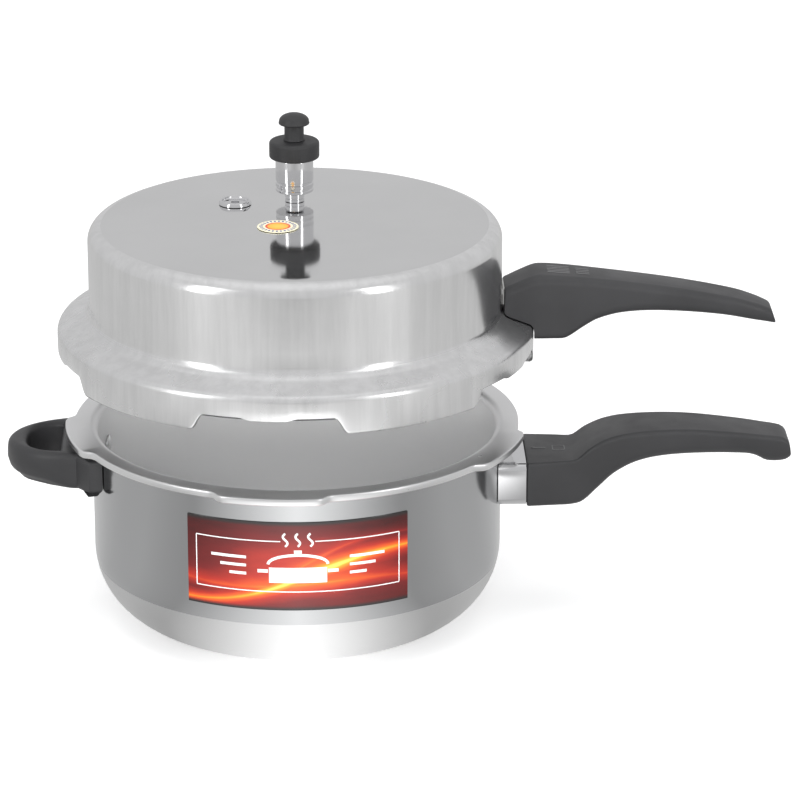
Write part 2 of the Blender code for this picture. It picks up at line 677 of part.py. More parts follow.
def lid_section(angle):
    """The lid's sheet from a claw's lip, up the outside to the axis and back down the inside."""
    claw_start = LUG_HALF + LUG_END + WINDOW_SIDE_GAP
    drop = min(1, max(0, (from_nearest_lug(angle) - claw_start) / CLAW_DROP))
    claw = min(1, max(0, (from_nearest_lug(angle) - claw_start - CLAW_DROP) / CLAW_FADE))
    edge = SKIRT_INSIDE - 0.1 * MM
    lip = edge + (LIP_INSIDE - edge) * claw
    bottom = WINDOW_EDGE + (LIP_BOTTOM - WINDOW_EDGE) * drop
    lip_top = bottom + LID_WALL
    ease = 0.8 * MM
    bend = (SKIRT_OUTSIDE - SKIRT_BEND, SKIRT_BEND_HEIGHT)
    foot = (DOME_RADIUS + DOME_FOOT, flange_foot())
    shoulder = (DOME_RADIUS - DOME_SHOULDER, LID_TOP - DOME_SHOULDER)
    slope = 90 - degrees(FLANGE_SLOPE)
    outline = [(lip, bottom), (SKIRT_OUTSIDE - ease, bottom), (SKIRT_OUTSIDE, bottom + ease)]
    outline += arc(bend, SKIRT_BEND, 0, slope, 2)
    outline += arc(foot, DOME_FOOT, 180 + slope, 180, 2)
    outline += arc(shoulder, DOME_SHOULDER, 0, 90, 3) + [(0, LID_TOP)]
    outline += [(0, LID_TOP - LID_WALL)] + arc(shoulder, DOME_SHOULDER - LID_WALL, 90, 0, 2)
    outline += arc(foot, DOME_FOOT + LID_WALL, 180, 180 + slope, 2)
    outline += arc(bend, SKIRT_BEND - LID_WALL, slope, 0, 2)
    outline += [(SKIRT_INSIDE, lip_top + 0.3 * MM), (lip, lip_top)]
    return [(r, LID_ZERO + z) for r, z in outline]


def lid_rivet_spots():
    height = LID_ZERO + (LID_PLATE_TOP - SMALL_RIVET_HEAD - GAP)
    reach = LID_PLATE_WIDTH / 2 - SMALL_RIVET_HEAD - GAP
    return [(side * asin(reach / DOME_RADIUS), height) for side in (-1, 1)]


def make_lid():
    lid = swept("lid_shell", lid_section, rim_angles(), ALUMINIUM)
    cut_round(lid, "vent_hole", VENT_THREAD + HOLE_GAP, VENT_PLACE + UP * (LID_FACE - 0.01), 0.02)
    cut_round(lid, "safety_hole", SAFETY_SHANK + HOLE_GAP,
              SAFETY_PLACE + UP * (LID_FACE - 0.01), 0.02)
    for i, (angle, height) in enumerate(lid_rivet_spots()):
        cut_round(lid, f"lid_rivet_hole_{i}", SMALL_RIVET_RADIUS + HOLE_GAP,
                  radial(angle) * (DOME_RADIUS - 3 * LID_WALL) + UP * height, 5 * LID_WALL,
                  radial(angle))


def ring_section(_angle):
    """The sealing ring: a thick back and two lips that open inwards, under the sloping flange."""
    outside = SKIRT_INSIDE - RING_SIDE_GAP
    inside = outside - RING_WIDTH
    slope = 90 - degrees(FLANGE_SLOPE)
    bend = (SKIRT_OUTSIDE - SKIRT_BEND, SKIRT_BEND_HEIGHT)
    under = bend[1] + (SKIRT_BEND - LID_WALL) * sin(radians(slope))
    edge = bend[0] + (SKIRT_BEND - LID_WALL) * cos(radians(slope))

    def below_flange(r):
        return under + (edge - r) * tan(FLANGE_SLOPE) - RING_TOP_GAP / cos(FLANGE_SLOPE)

    top_edge = outside - 2.4 * MM
    back = outside - RING_BACK
    outline = [(inside, RING_GAP), (outside, RING_GAP), (outside, SKIRT_BEND_HEIGHT - 0.6 * MM),
               (top_edge, below_flange(top_edge)), (inside, below_flange(inside)),
               (inside, below_flange(inside) - RING_LIP), (back, below_flange(back) - 1.4 * RING_LIP),
               (back, RING_GAP + 1.4 * RING_LIP), (inside, RING_GAP + RING_LIP)]
    return [(r, LID_ZERO + z) for r, z in outline]


def make_lid_bracket():
    half = asin(LID_PLATE_WIDTH / 2 / PLATE_OUTSIDE)
    middle = LID_ZERO + LID_TONGUE_HEIGHT
    bracket = annular_sector("lid_bracket", PLATE_INSIDE, PLATE_OUTSIDE, 0, half,
                             middle - LID_TONGUE_THICKNESS / 2 - 0.4 * MM,
                             LID_ZERO + LID_PLATE_TOP, ZINC)
    tongue = box("lid_tongue", (PLATE_OUTSIDE - BRACKET_THICKNESS / 2, -LID_TONGUE_WIDTH / 2,
                                middle - LID_TONGUE_THICKNESS / 2),
                 (LID_TONGUE_END, LID_TONGUE_WIDTH / 2, middle + LID_TONGUE_THICKNESS / 2))
    join(bracket, tongue)
    for i, (angle, height) in enumerate(lid_rivet_spots()):
        cut_round(bracket, f"lid_plate_hole_{i}", SMALL_RIVET_RADIUS + HOLE_GAP,
                  radial(angle) * (DOME_RADIUS - LID_WALL) + UP * height, 4 * LID_WALL,
                  radial(angle))
    cut_round(bracket, "lid_bracket_screw_hole", SCREW_RADIUS + HOLE_GAP,
              (LID_SCREW_X, 0, middle - 2 * TONGUE_THICKNESS), 4 * TONGUE_THICKNESS)


def make_lid_rivets():
    profile = rivet_profile(SMALL_RIVET_RADIUS, SMALL_RIVET_HEAD, LID_WALL,
                            PLATE_OUTSIDE - DOME_RADIUS)
    names = ("lid_rivet_front", "lid_rivet_back")
    for name, (angle, height) in zip(names, lid_rivet_spots()):
        turned(name, profile, ALUMINIUM, radial(angle) * DOME_RADIUS + UP * height, SMALL_STEPS,
               facing(angle))


def lid_handle_rings():
    """Sections of the lid handle: a deep root over the flange, then a slim drooping grip."""
    root = -3
    top = [(root, 33.0), (2.4, 34.2), (10, 37.8), (19, 41.0), (32, 40.3), (47, 38.8), (70, 36.0),
           (96, 32.2), (120, 27.6), (140, 22.8), (147, 19.6)]
    low = [(root, 5.5), (33, 5.5), (36.5, 7.2), (43, 11.5), (51, 15.8), (65.5, 19.2), (86, 19.7),
           (117, 17.2), (140, 12.8), (147, 12.6)]
    wide = [(root, 29), (33, 30), (55, 27), (96, 25.5), (130, 24), (147, 19)]
    return handle_rings(LID_ZERO, -3 * MM, LID_BLOCK_REACH, LID_HANDLE_REACH, 147 * MM, top, low,
                        wide)


def make_lid_handle():
    handle = loft("lid_handle", lid_handle_rings(), PHENOLIC)
    middle = LID_ZERO + LID_TONGUE_HEIGHT
    half = LID_TONGUE_THICKNESS / 2 + HOLE_GAP
    cut_round(handle, "dome_seat", DOME_RADIUS + 2 * GAP, (0, 0, LID_ZERO - 10 * MM), LID_TOP, steps=128)
    cut_round(handle, "flange_notch", SKIRT_OUTSIDE + 0.8 * MM, (0, 0, LID_ZERO - 10 * MM),
              LID_NOTCH_TOP + 10 * MM, steps=128)
    cut_box(handle, "lid_plate_way",
            (POT_RADIUS * 0.9, -LID_PLATE_WIDTH / 2 - HOLE_GAP, middle - half - 0.4 * MM),
            (PLATE_OUTSIDE + RIVET_HEAD_HEIGHT + 3 * GAP, LID_PLATE_WIDTH / 2 + HOLE_GAP,
             LID_ZERO + LID_PLATE_TOP + HOLE_GAP))
    cut_box(handle, "lid_tongue_way", (POT_RADIUS, -LID_TONGUE_WIDTH / 2 - HOLE_GAP, middle - half),
            (LID_TONGUE_END + HOLE_GAP, LID_TONGUE_WIDTH / 2 + HOLE_GAP, middle + half))
    fasten(handle, "lid_handle", LID_SCREW_X, middle, LID_TONGUE_THICKNESS,
           LID_ZERO + 5.5 * MM, 9 * MM)


def make_sticker():
    cylinder("test_sticker", STICKER_RADIUS, STICKER_PLACE + UP * (LID_FACE + GAP),
             LABEL_THICKNESS, steps=40, finish=STICKER)


# ---------------------------------------------------------------- valves and weight

def clamp_from_below(prefix, spot, shank):
    """A washer and a nut on the underside of the lid's top."""
    washer_top = LID_FACE - LID_WALL - GAP
    bore = shank + HOLE_GAP
    turned(f"{prefix}_washer", [(bore, 0), (shank + WASHER_MARGIN, 0),
                                (shank + WASHER_MARGIN, -WASHER_HEIGHT), (bore, -WASHER_HEIGHT)],
           RUBBER, spot + UP * washer_top, SMALL_STEPS)
    low = washer_top - WASHER_HEIGHT - GAP - CLAMP_NUT_HEIGHT
    hex_nut(f"{prefix}_nut", 2 * shank + CLAMP_NUT_WIDTH_MARGIN, bore, CLAMP_NUT_HEIGHT,
            spot + UP * low, ZINC)


def below_lid():
    """How far a valve's thread reaches under the lid's top face."""
    return LID_WALL + WASHER_HEIGHT + CLAMP_NUT_HEIGHT + 2 * GAP + 1.2 * MM


def make_vent():
    cone = 3 * MM
    profile = [(VENT_BORE, VENT_NOZZLE_TOP), (VENT_BORE + 0.8 * MM, VENT_NOZZLE_TOP),
               (VENT_NOZZLE, VENT_NOZZLE_TOP - cone), (VENT_NOZZLE, VENT_COLLAR_HEIGHT),
               (VENT_COLLAR, VENT_COLLAR_HEIGHT), (VENT_COLLAR, GAP), (VENT_THREAD, GAP),
               (VENT_THREAD, -below_lid()), (VENT_BORE, -below_lid())]
    turned("vent_tube", profile, STEEL, VENT_PLACE + UP * LID_FACE)
    clamp_from_below("vent", VENT_PLACE, VENT_THREAD)


def make_safety_plug():
    height = SAFETY_HEAD_HEIGHT
    profile = [(SAFETY_BORE, height * 0.45), (SAFETY_HEAD * 0.72, height * 0.45),
               (SAFETY_HEAD * 0.82, height), (SAFETY_HEAD * 0.92, height),
               (SAFETY_HEAD, height * 0.5), (SAFETY_HEAD, GAP), (SAFETY_SHANK, GAP),
               (SAFETY_SHANK, -below_lid()), (SAFETY_BORE, -below_lid())]
    turned("safety_plug", profile, STEEL, SAFETY_PLACE + UP * LID_FACE)
    clamp_from_below("safety", SAFETY_PLACE, SAFETY_SHANK)
    cylinder("fusible_insert", SAFETY_BORE - HOLE_GAP,
             SAFETY_PLACE + UP * (LID_FACE - below_lid()), below_lid() + height * 0.45,
             finish=ALLOY)


def weight_spot():
    return VENT_PLACE + UP * LID_FACE


def make_weight():
    groove, depth = 0.9 * MM, 0.5 * MM
    grooves = []
    for middle in (WEIGHT_FOOT + 5.6 * MM, WEIGHT_FOOT + 2.4 * MM):
        grooves += [(WEIGHT_RADIUS, middle + groove), (WEIGHT_RADIUS - depth, middle + groove / 2),
                    (WEIGHT_RADIUS - depth, middle - groove / 2), (WEIGHT_RADIUS, middle - groove)]
    shank_bore = KNOB_SHANK + HOLE_GAP
    shank_floor = WEIGHT_TOP - KNOB_SHANK_DEPTH - GAP
    ease = 0.7 * MM
    # The bore is open below and the shank's seat is open above, with a floor between them.
    outline = [(0, shank_floor), (shank_bore, shank_floor), (shank_bore, WEIGHT_TOP),
               (WEIGHT_RADIUS - ease, WEIGHT_TOP), (WEIGHT_RADIUS, WEIGHT_TOP - ease), *grooves,
               (WEIGHT_RADIUS, WEIGHT_FOOT + ease), (WEIGHT_RADIUS - ease, WEIGHT_FOOT),
               (WEIGHT_BORE, WEIGHT_FOOT), (WEIGHT_BORE, WEIGHT_BORE_TOP), (0, WEIGHT_BORE_TOP)]
    turned("weight_body", outline, STEEL, weight_spot())


def make_weight_cap():
    low = WEIGHT_TOP + GAP
    high = low + CAP_HEIGHT
    bore = KNOB_SHANK + HOLE_GAP
    round_off = 2 * MM
    side = arc((CAP_RADIUS - round_off, high - round_off), round_off, 90, 0, 3)
    side += arc((CAP_RADIUS - round_off / 2, low + round_off / 2), round_off / 2, 0, -90, 2)
    turned("weight_cap", [(bore, high), *side, (bore, low)], PHENOLIC, weight_spot())


def make_weight_knob():
    seat = WEIGHT_TOP + CAP_HEIGHT + 2 * GAP
    neck = seat + KNOB_STEM_HEIGHT
    top = neck + KNOB_HEIGHT
    edge = neck + KNOB_HEIGHT * 0.4
    crown = [(KNOB_RADIUS * 0.9 * sin(a), edge + (top - edge) * cos(a))
             for a in (radians(15 * i) for i in range(1, 6))]
    shank_end = WEIGHT_TOP - KNOB_SHANK_DEPTH
    outline = [(0, top), *crown, (KNOB_RADIUS, edge), (KNOB_RADIUS, edge - 1.2 * MM),
               (KNOB_RADIUS * 0.9, neck + 0.6 * MM), (KNOB_STEM, neck), (KNOB_STEM, seat),
               (KNOB_SHANK, seat), (KNOB_SHANK, shank_end), (0, shank_end)]
    turned("weight_knob", outline, PHENOLIC, weight_spot())


def make_weight_needle():
    low = VENT_NOZZLE_TOP + GAP
    outline = [(0, low + NEEDLE_HEAD_HEIGHT), (NEEDLE_HEAD, low + NEEDLE_HEAD_HEIGHT),
               (NEEDLE_HEAD, low), (NEEDLE_RADIUS, low), (NEEDLE_RADIUS, low - NEEDLE_LENGTH),
               (0, low - NEEDLE_LENGTH - NEEDLE_RADIUS)]
    turned("weight_needle", outline, STEEL, weight_spot(), SMALL_STEPS)


# ---------------------------------------------------------------- assembly

make_pot()
make_rivets()
make_label()
make_body_bracket()
make_ferrule()
make_body_handle()
make_helper_bracket()
make_helper_handle()
swept("sealing_ring", ring_section, rim_angles(), RUBBER)
make_lid()
make_lid_bracket()
make_lid_rivets()
make_lid_handle()
make_sticker()
make_vent()
make_safety_plug()
make_weight()
make_weight_cap()
make_weight_knob()
make_weight_needle()
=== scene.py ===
"""Looks of the stovetop pressure cooker: polished pan and lid, phenolic handles, whistle weight."""
from math import atan2, cos, degrees, hypot, pi, radians, sin, sqrt, tan

import bmesh
import bpy
from mathutils import Matrix, Vector


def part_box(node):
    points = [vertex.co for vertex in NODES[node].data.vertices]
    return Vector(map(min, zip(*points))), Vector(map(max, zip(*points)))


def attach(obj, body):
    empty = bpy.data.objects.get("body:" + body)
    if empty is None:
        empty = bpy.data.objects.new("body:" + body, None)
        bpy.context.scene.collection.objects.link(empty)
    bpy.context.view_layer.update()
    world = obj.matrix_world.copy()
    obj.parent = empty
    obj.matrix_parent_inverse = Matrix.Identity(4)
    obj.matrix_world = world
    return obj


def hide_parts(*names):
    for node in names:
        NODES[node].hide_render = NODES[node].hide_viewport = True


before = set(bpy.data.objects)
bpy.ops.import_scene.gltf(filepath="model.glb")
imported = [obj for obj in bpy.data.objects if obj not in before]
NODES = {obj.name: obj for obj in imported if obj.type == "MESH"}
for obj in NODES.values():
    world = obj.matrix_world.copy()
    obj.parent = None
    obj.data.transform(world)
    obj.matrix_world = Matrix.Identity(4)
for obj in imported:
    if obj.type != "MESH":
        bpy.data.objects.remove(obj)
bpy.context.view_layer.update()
MM = 0.001

# ---------------------------------------------------------------- sizes, read from the frame

_, POT_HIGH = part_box("pot_body")
LID_LOW, LID_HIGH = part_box("lid_shell")
RING_LOW, RING_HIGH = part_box("sealing_ring")
VENT_LOW, VENT_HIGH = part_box("vent_tube")
SAFETY_LOW, SAFETY_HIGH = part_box("safety_plug")
STICKER_LOW, STICKER_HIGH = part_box("test_sticker")
LABEL_LOW, LABEL_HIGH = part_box("front_label")

RIM = POT_HIGH.z
LID_FACE = LID_HIGH.z
SKIRT_OUTSIDE = LID_HIGH.x
LID_ZERO = LID_LOW.z + 7 * MM            # height of the pan's rim inside the closed lid
POT_RADIUS = -LABEL_LOW.y - 0.6 * MM
POT_WALL = 3 * MM
BASE_CORNER = 40.5 * MM
BASE_BAND = 33 * MM
RIM_THICKNESS = 4 * MM
RIM_RADIUS = POT_RADIUS + 9.5 * MM
LUG_RADIUS = RIM_RADIUS + 4.8 * MM
LUG_COUNT = 5
LUG_FIRST = radians(-96.7)
LUG_PITCH = 2 * pi / LUG_COUNT
LUG_HALF = radians(12.0)
LUG_END = radians(3.0)
LID_WALL = 2.4 * MM
SKIRT_INSIDE = SKIRT_OUTSIDE - LID_WALL
LIP_INSIDE = RIM_RADIUS + 0.7 * MM
CLAW_START = LUG_HALF + LUG_END + radians(0.8)
DOME_SHOULDER = 8 * MM
DOME_FOOT = 7 * MM
SKIRT_BEND = 4 * MM
FLANGE_SLOPE = radians(20)
VENT = Vector(((VENT_LOW.x + VENT_HIGH.x) / 2, (VENT_LOW.y + VENT_HIGH.y) / 2, LID_FACE))
SAFETY = Vector(((SAFETY_LOW.x + SAFETY_HIGH.x) / 2, (SAFETY_LOW.y + SAFETY_HIGH.y) / 2, LID_FACE))
STICKER = Vector(((STICKER_LOW.x + STICKER_HIGH.x) / 2, (STICKER_LOW.y + STICKER_HIGH.y) / 2,
                  LID_FACE))


# ---------------------------------------------------------------- light levels, as shares of white

FLOOR_GLOW = 0.27
# brightness of the sweep far from the pan, as metal mirrors it: share of a half turn, level
FLOOR_FAR = ((0.0, 0.50), (0.10, 0.58), (0.16, 0.68), (0.22, 0.66), (0.28, 0.80), (0.36, 0.60),
             (0.50, 0.56), (1.0, 0.58))
# what the pan's wall mirrors close by, by the turn from the front as a share of half a turn
FLOOR_NEAR = ((0.0, 1.62), (0.08, 1.25), (0.15, 0.92), (0.21, 0.68), (0.28, 0.46), (0.35, 0.52),
              (0.43, 0.60), (0.55, 0.60), (0.68, 0.68), (1.0, 0.62))
AIR_LEVELS = ((0.0, 0.60), (0.40, 0.62), (0.75, 0.64), (1.0, 0.80))


# ---------------------------------------------------------------- modelling helpers

def arc(centre, radius, start, end, steps):
    turns = [radians(start + (end - start) * i / steps) for i in range(steps + 1)]
    return [(centre[0] + radius * cos(a), centre[1] + radius * sin(a)) for a in turns]


def fresh():
    """Leaves edit mode and deselects everything."""
    if bpy.context.object and bpy.context.object.mode != "OBJECT":
        bpy.ops.object.mode_set(mode="OBJECT")
    bpy.ops.object.select_all(action="DESELECT")


def dense(points, longest):
    """The outline with long straight stretches divided."""
    out = [points[0]]
    for a, b in zip(points, points[1:]):
        parts = max(1, round(hypot(b[0] - a[0], b[1] - a[1]) / longest))
        out += [(a[0] + (b[0] - a[0]) * i / parts, a[1] + (b[1] - a[1]) * i / parts)
                for i in range(1, parts + 1)]
    return out


def shade(piece, angle=32):
    fresh()
    piece.select_set(True)
    bpy.context.view_layer.objects.active = piece
    bpy.ops.object.shade_smooth_by_angle(angle=radians(angle))


def turned(name, outline, finish, at=(0, 0, 0), steps=64, closed=False, angle=32):
    """One vertex drawn out along an outline of (radius, height) points and spun round +Z."""
    points = outline + [outline[0]] if closed else outline
    fresh()
    bpy.ops.mesh.primitive_plane_add(size=MM, location=(0, 0, 0))
    piece = bpy.context.object
    piece.name = piece.data.name = name
    bpy.ops.object.mode_set(mode="EDIT")
    bpy.ops.mesh.select_all(action="SELECT")
    bpy.ops.mesh.merge(type="CENTER")
    bpy.ops.transform.translate(value=(points[0][0], 0, points[0][1]))
    for here, there in zip(points, points[1:]):
        step = (there[0] - here[0], 0, there[1] - here[1])
        bpy.ops.mesh.extrude_region_move(TRANSFORM_OT_translate={"value": step})
    bpy.ops.mesh.select_all(action="SELECT")
    bpy.ops.mesh.spin(steps=steps, angle=2 * pi, center=(0, 0, 0), axis=(0, 0, 1))
    bpy.ops.mesh.select_all(action="SELECT")
    bpy.ops.mesh.remove_doubles(threshold=0.002 * MM)
    bpy.ops.mesh.normals_make_consistent(inside=False)
    bpy.ops.mesh.select_all(action="SELECT")
    bpy.ops.transform.translate(value=at)
    bpy.ops.object.mode_set(mode="OBJECT")
    piece.data.materials.append(finish)
    shade(piece, angle)
    return piece


def reshape(piece, rule):
    """Moves each point of a piece by a rule on its place."""
    for vertex in piece.data.vertices:
        vertex.co = rule(vertex.co.copy())
    piece.data.update()


def apply_modifiers(piece):
    fresh()
    piece.select_set(True)
    bpy.context.view_layer.objects.active = piece
    for step in list(piece.modifiers):
        bpy.ops.object.modifier_apply(modifier=step.name)


def refined(node, finish, width=0.4 * MM, segments=3, name=None):
    """A CAD node's shape with its triangles merged and its hard edges rounded."""
    shape = bmesh.new()
    shape.from_mesh(NODES[node].data)
    bmesh.ops.remove_doubles(shape, verts=shape.verts, dist=0.002 * MM)
    bmesh.ops.dissolve_limit(shape, angle_limit=radians(1.0), verts=shape.verts, edges=shape.edges)
    mesh = bpy.data.meshes.new(name or f"{node}_fine")
    shape.to_mesh(mesh)
    shape.free()
    piece = bpy.data.objects.new(mesh.name, mesh)
    bpy.context.scene.collection.objects.link(piece)
    mesh.materials.clear()
    mesh.materials.append(finish)
    soften = piece.modifiers.new("edges", "BEVEL")
    soften.width = width
    soften.segments = segments
    soften.limit_method = "ANGLE"
    soften.angle_limit = radians(35)
    soften.use_clamp_overlap = True
    apply_modifiers(piece)
    shade(piece, 35)
    return piece


def settle(piece, body, slot, *nodes):
    """Rides a finished piece on its body, in place of the CAD nodes that it stands for."""
    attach(piece, body)
    if nodes:
        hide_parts(*nodes)
    return piece


# ---------------------------------------------------------------- material helpers

class Finish:
    """A Principled material with short ways to add nodes."""

    def __init__(self, name, colour=(0.8, 0.8, 0.8), metallic=0.0, roughness=0.4, **sockets):
        self.material = bpy.data.materials.new(name)
        self.material.use_nodes = True
        self.tree = self.material.node_tree
        self.shader = self.tree.nodes["Principled BSDF"]
        self.set("Base Color", (*colour, 1))
        self.set("Metallic", metallic)
        self.set("Roughness", roughness)
        for socket, value in sockets.items():
            self.set(socket.replace("_", " "), value)
        self.coordinates = self.add("ShaderNodeTexCoord").outputs["Object"]

    def set(self, socket, value):
        self.shader.inputs[socket].default_value = value

    def add(self, kind, **settings):
        node = self.tree.nodes.new(kind)
        for key, value in settings.items():
            setattr(node, key, value)
        return node

    def link(self, output, target):
        if isinstance(target, str):
            target = self.shader.inputs[target]
        self.tree.links.new(output, target)

    def mapping(self, scale, location=(0, 0, 0), rotation=(0, 0, 0)):
        node = self.add("ShaderNodeMapping")
        node.inputs["Scale"].default_value = scale
        node.inputs["Location"].default_value = location
        node.inputs["Rotation"].default_value = rotation
        self.link(self.coordinates, node.inputs["Vector"])
        return node.outputs["Vector"]

    def noise(self, scale, detail=4.0, roughness=0.55, stretch=(1, 1, 1), vector=None):
        node = self.add("ShaderNodeTexNoise")
        node.inputs["Scale"].default_value = scale
        node.inputs["Detail"].default_value = detail
        node.inputs["Roughness"].default_value = roughness
        self.link(vector or self.mapping(stretch), node.inputs["Vector"])
        return node.outputs["Fac"]

    def sum_to(self, value, low, high, out_low, out_high):
        node = self.add("ShaderNodeMapRange")
        for key, number in (("From Min", low), ("From Max", high), ("To Min", out_low),
                            ("To Max", out_high)):
            node.inputs[key].default_value = number
        self.link(value, node.inputs["Value"])
        return node.outputs["Result"]

    def lathe_tangent(self):
        """Stretches highlights across lines that run round the axis."""
        self.link(self.add("ShaderNodeTangent", direction_type="RADIAL", axis="Z").outputs["Tangent"],
                  "Tangent")

    def maths(self, operation, first, second=None, third=None):
        node = self.add("ShaderNodeMath", operation=operation)
        for i, value in enumerate((first, second, third)):
            if value is None:
                continue
            if isinstance(value, (int, float)):
                node.inputs[i].default_value = value
            else:
                self.link(value, node.inputs[i])
        return node.outputs["Value"]

    def axes(self):
        node = self.add("ShaderNodeSeparateXYZ")
        self.link(self.coordinates, node.inputs["Vector"])
        return node.outputs["X"], node.outputs["Y"], node.outputs["Z"]

    def distance_to_axis(self, centre=(0, 0)):
        x, y, _ = self.axes()
        dx = self.maths("SUBTRACT", x, centre[0])
        dy = self.maths("SUBTRACT", y, centre[1])
        square = self.maths("ADD", self.maths("MULTIPLY", dx, dx), self.maths("MULTIPLY", dy, dy))
        return self.maths("SQRT", square), self.maths("ARCTAN2", dy, dx)

    def mix(self, share, first, second):
        node = self.add("ShaderNodeMix", data_type="RGBA")
        for key, value in (("Factor", share), ("A", first), ("B", second)):
            socket = [s for s in node.inputs if s.name == key and
                      s.type == ("VALUE" if key == "Factor" else "RGBA")][0]
            if isinstance(value, tuple):
                socket.default_value = (*value, 1)
            elif isinstance(value, (int, float)):
                socket.default_value = value
            else:
                self.link(value, socket)
        return [s for s in node.outputs if s.type == "RGBA"][0]

    def ramp(self, value, stops):
        node = self.add("ShaderNodeValToRGB")
        while len(node.color_ramp.elements) < len(stops):
            node.color_ramp.elements.new(0.5)
        for element, (place, colour) in zip(node.color_ramp.elements, stops):
            element.position = place
            element.color = (*colour, 1) if len(colour) == 3 else colour
        self.link(value, node.inputs["Fac"])
        return node.outputs["Color"]

    def bump(self, *layers):
        """Layers of (height, strength, distance in metres)."""
        normal = None
        for height, strength, distance in layers:
            node = self.add("ShaderNodeBump")
            node.inputs["Strength"].default_value = strength
            node.inputs["Distance"].default_value = distance
            self.link(height, node.inputs["Height"])
            if normal:
                self.link(normal, node.inputs["Normal"])
            normal = node.outputs["Normal"]
        self.link(normal, "Normal")


def polished_wall():
    """The pan's outer wall: a dark roll polish with faint upright smears."""
    f = Finish("wall_polish", (0.52, 0.525, 0.53), 1.0, 0.14, Anisotropic=0.4)
    f.lathe_tangent()
    smear = f.noise(38, 3, 0.6, (1, 1, 0.06))
    f.link(f.sum_to(smear, 0.3, 0.7, 0.11, 0.17), "Roughness")
    f.link(f.mix(f.noise(14, 3), (0.50, 0.505, 0.51), (0.55, 0.555, 0.56)), "Base Color")
    f.bump((f.noise(9, 2), 0.04, 2 * MM), (f.noise(420, 2, 0.6, (1, 1, 0.1)), 0.03, 0.1 * MM))
    return f.material


def turned_lines(name, colour, roughness, depth, scale=2600, spread=0.05, metallic=1.0):
    """Metal with fine lathe lines that run round the axis."""
    f = Finish(name, colour, metallic, roughness)
    radius, _ = f.distance_to_axis()
    _, _, z = f.axes()
    lane = f.maths("ADD", radius, z)
    combine = f.add("ShaderNodeCombineXYZ")
    f.link(lane, combine.inputs["X"])
    lines = f.noise(scale, 3, 0.7, vector=combine.outputs["Vector"])
    f.link(f.sum_to(lines, 0.3, 0.7, roughness - spread, roughness + spread), "Roughness")
    patch = f.noise(18, 3)
    dark = tuple(c * 0.93 for c in colour)
    f.link(f.mix(patch, dark, tuple(min(1, c * 1.04) for c in colour)), "Base Color")
    f.bump((lines, depth, 0.12 * MM), (f.noise(7, 2), 0.03, 2 * MM))
    return f.material


def satin_metal(name, colour, roughness, grain=300, spread=0.04, dents=0.05, streaks=0.0):
    """Smooth metal with a faint grain, slow unevenness and, if drawn, upright streaks."""
    f = Finish(name, colour, 1.0, roughness)
    fine = f.noise(grain, 3)
    f.link(f.sum_to(f.noise(30, 4), 0.3, 0.7, roughness - spread, roughness + spread), "Roughness")
    cloud = f.mix(f.noise(24, 3), tuple(c * 0.94 for c in colour), colour)
    if streaks:
        drawn = f.sum_to(f.noise(150, 4, 0.65, (1, 1, 0.07)), 0.38, 0.62, 0, streaks)
        scuffed = f.sum_to(f.noise(16, 5, 0.6), 0.45, 0.75, 0, streaks)
        worn = tuple(c * 0.70 for c in colour)
        cloud = f.mix(drawn, cloud, worn)
        cloud = f.mix(scuffed, cloud, worn)
    f.link(cloud, "Base Color")
    f.bump((fine, 0.03 + streaks / 4, 0.05 * MM), (f.noise(22, 2), dents, 0.6 * MM))
    return f.material


def phenolic(name, colour, roughness=0.40):
    """Moulded phenolic: a satin skin with a faint grain and soft wear."""
    f = Finish(name, colour, 0.0, roughness, Specular_IOR_Level=0.5)
    grain = f.noise(900, 3)
    f.link(f.sum_to(f.noise(45, 4), 0.3, 0.7, roughness - 0.07, roughness + 0.09), "Roughness")
    pale = tuple(c * 1.35 for c in colour)
    f.link(f.mix(f.sum_to(f.noise(30, 5), 0.42, 0.75, 0, 0.7), colour, pale), "Base Color")
    f.bump((grain, 0.10, 0.06 * MM), (f.noise(60, 3), 0.06, 0.4 * MM))
    return f.material


def rubber_skin():
    f = Finish("ring_rubber_skin", (0.10, 0.10, 0.102), 0.0, 0.62, Specular_IOR_Level=0.35)
    f.link(f.mix(f.noise(80, 4), (0.08, 0.08, 0.082), (0.13, 0.13, 0.132)), "Base Color")
    f.bump((f.noise(500, 3), 0.15, 0.1 * MM))
    return f.material


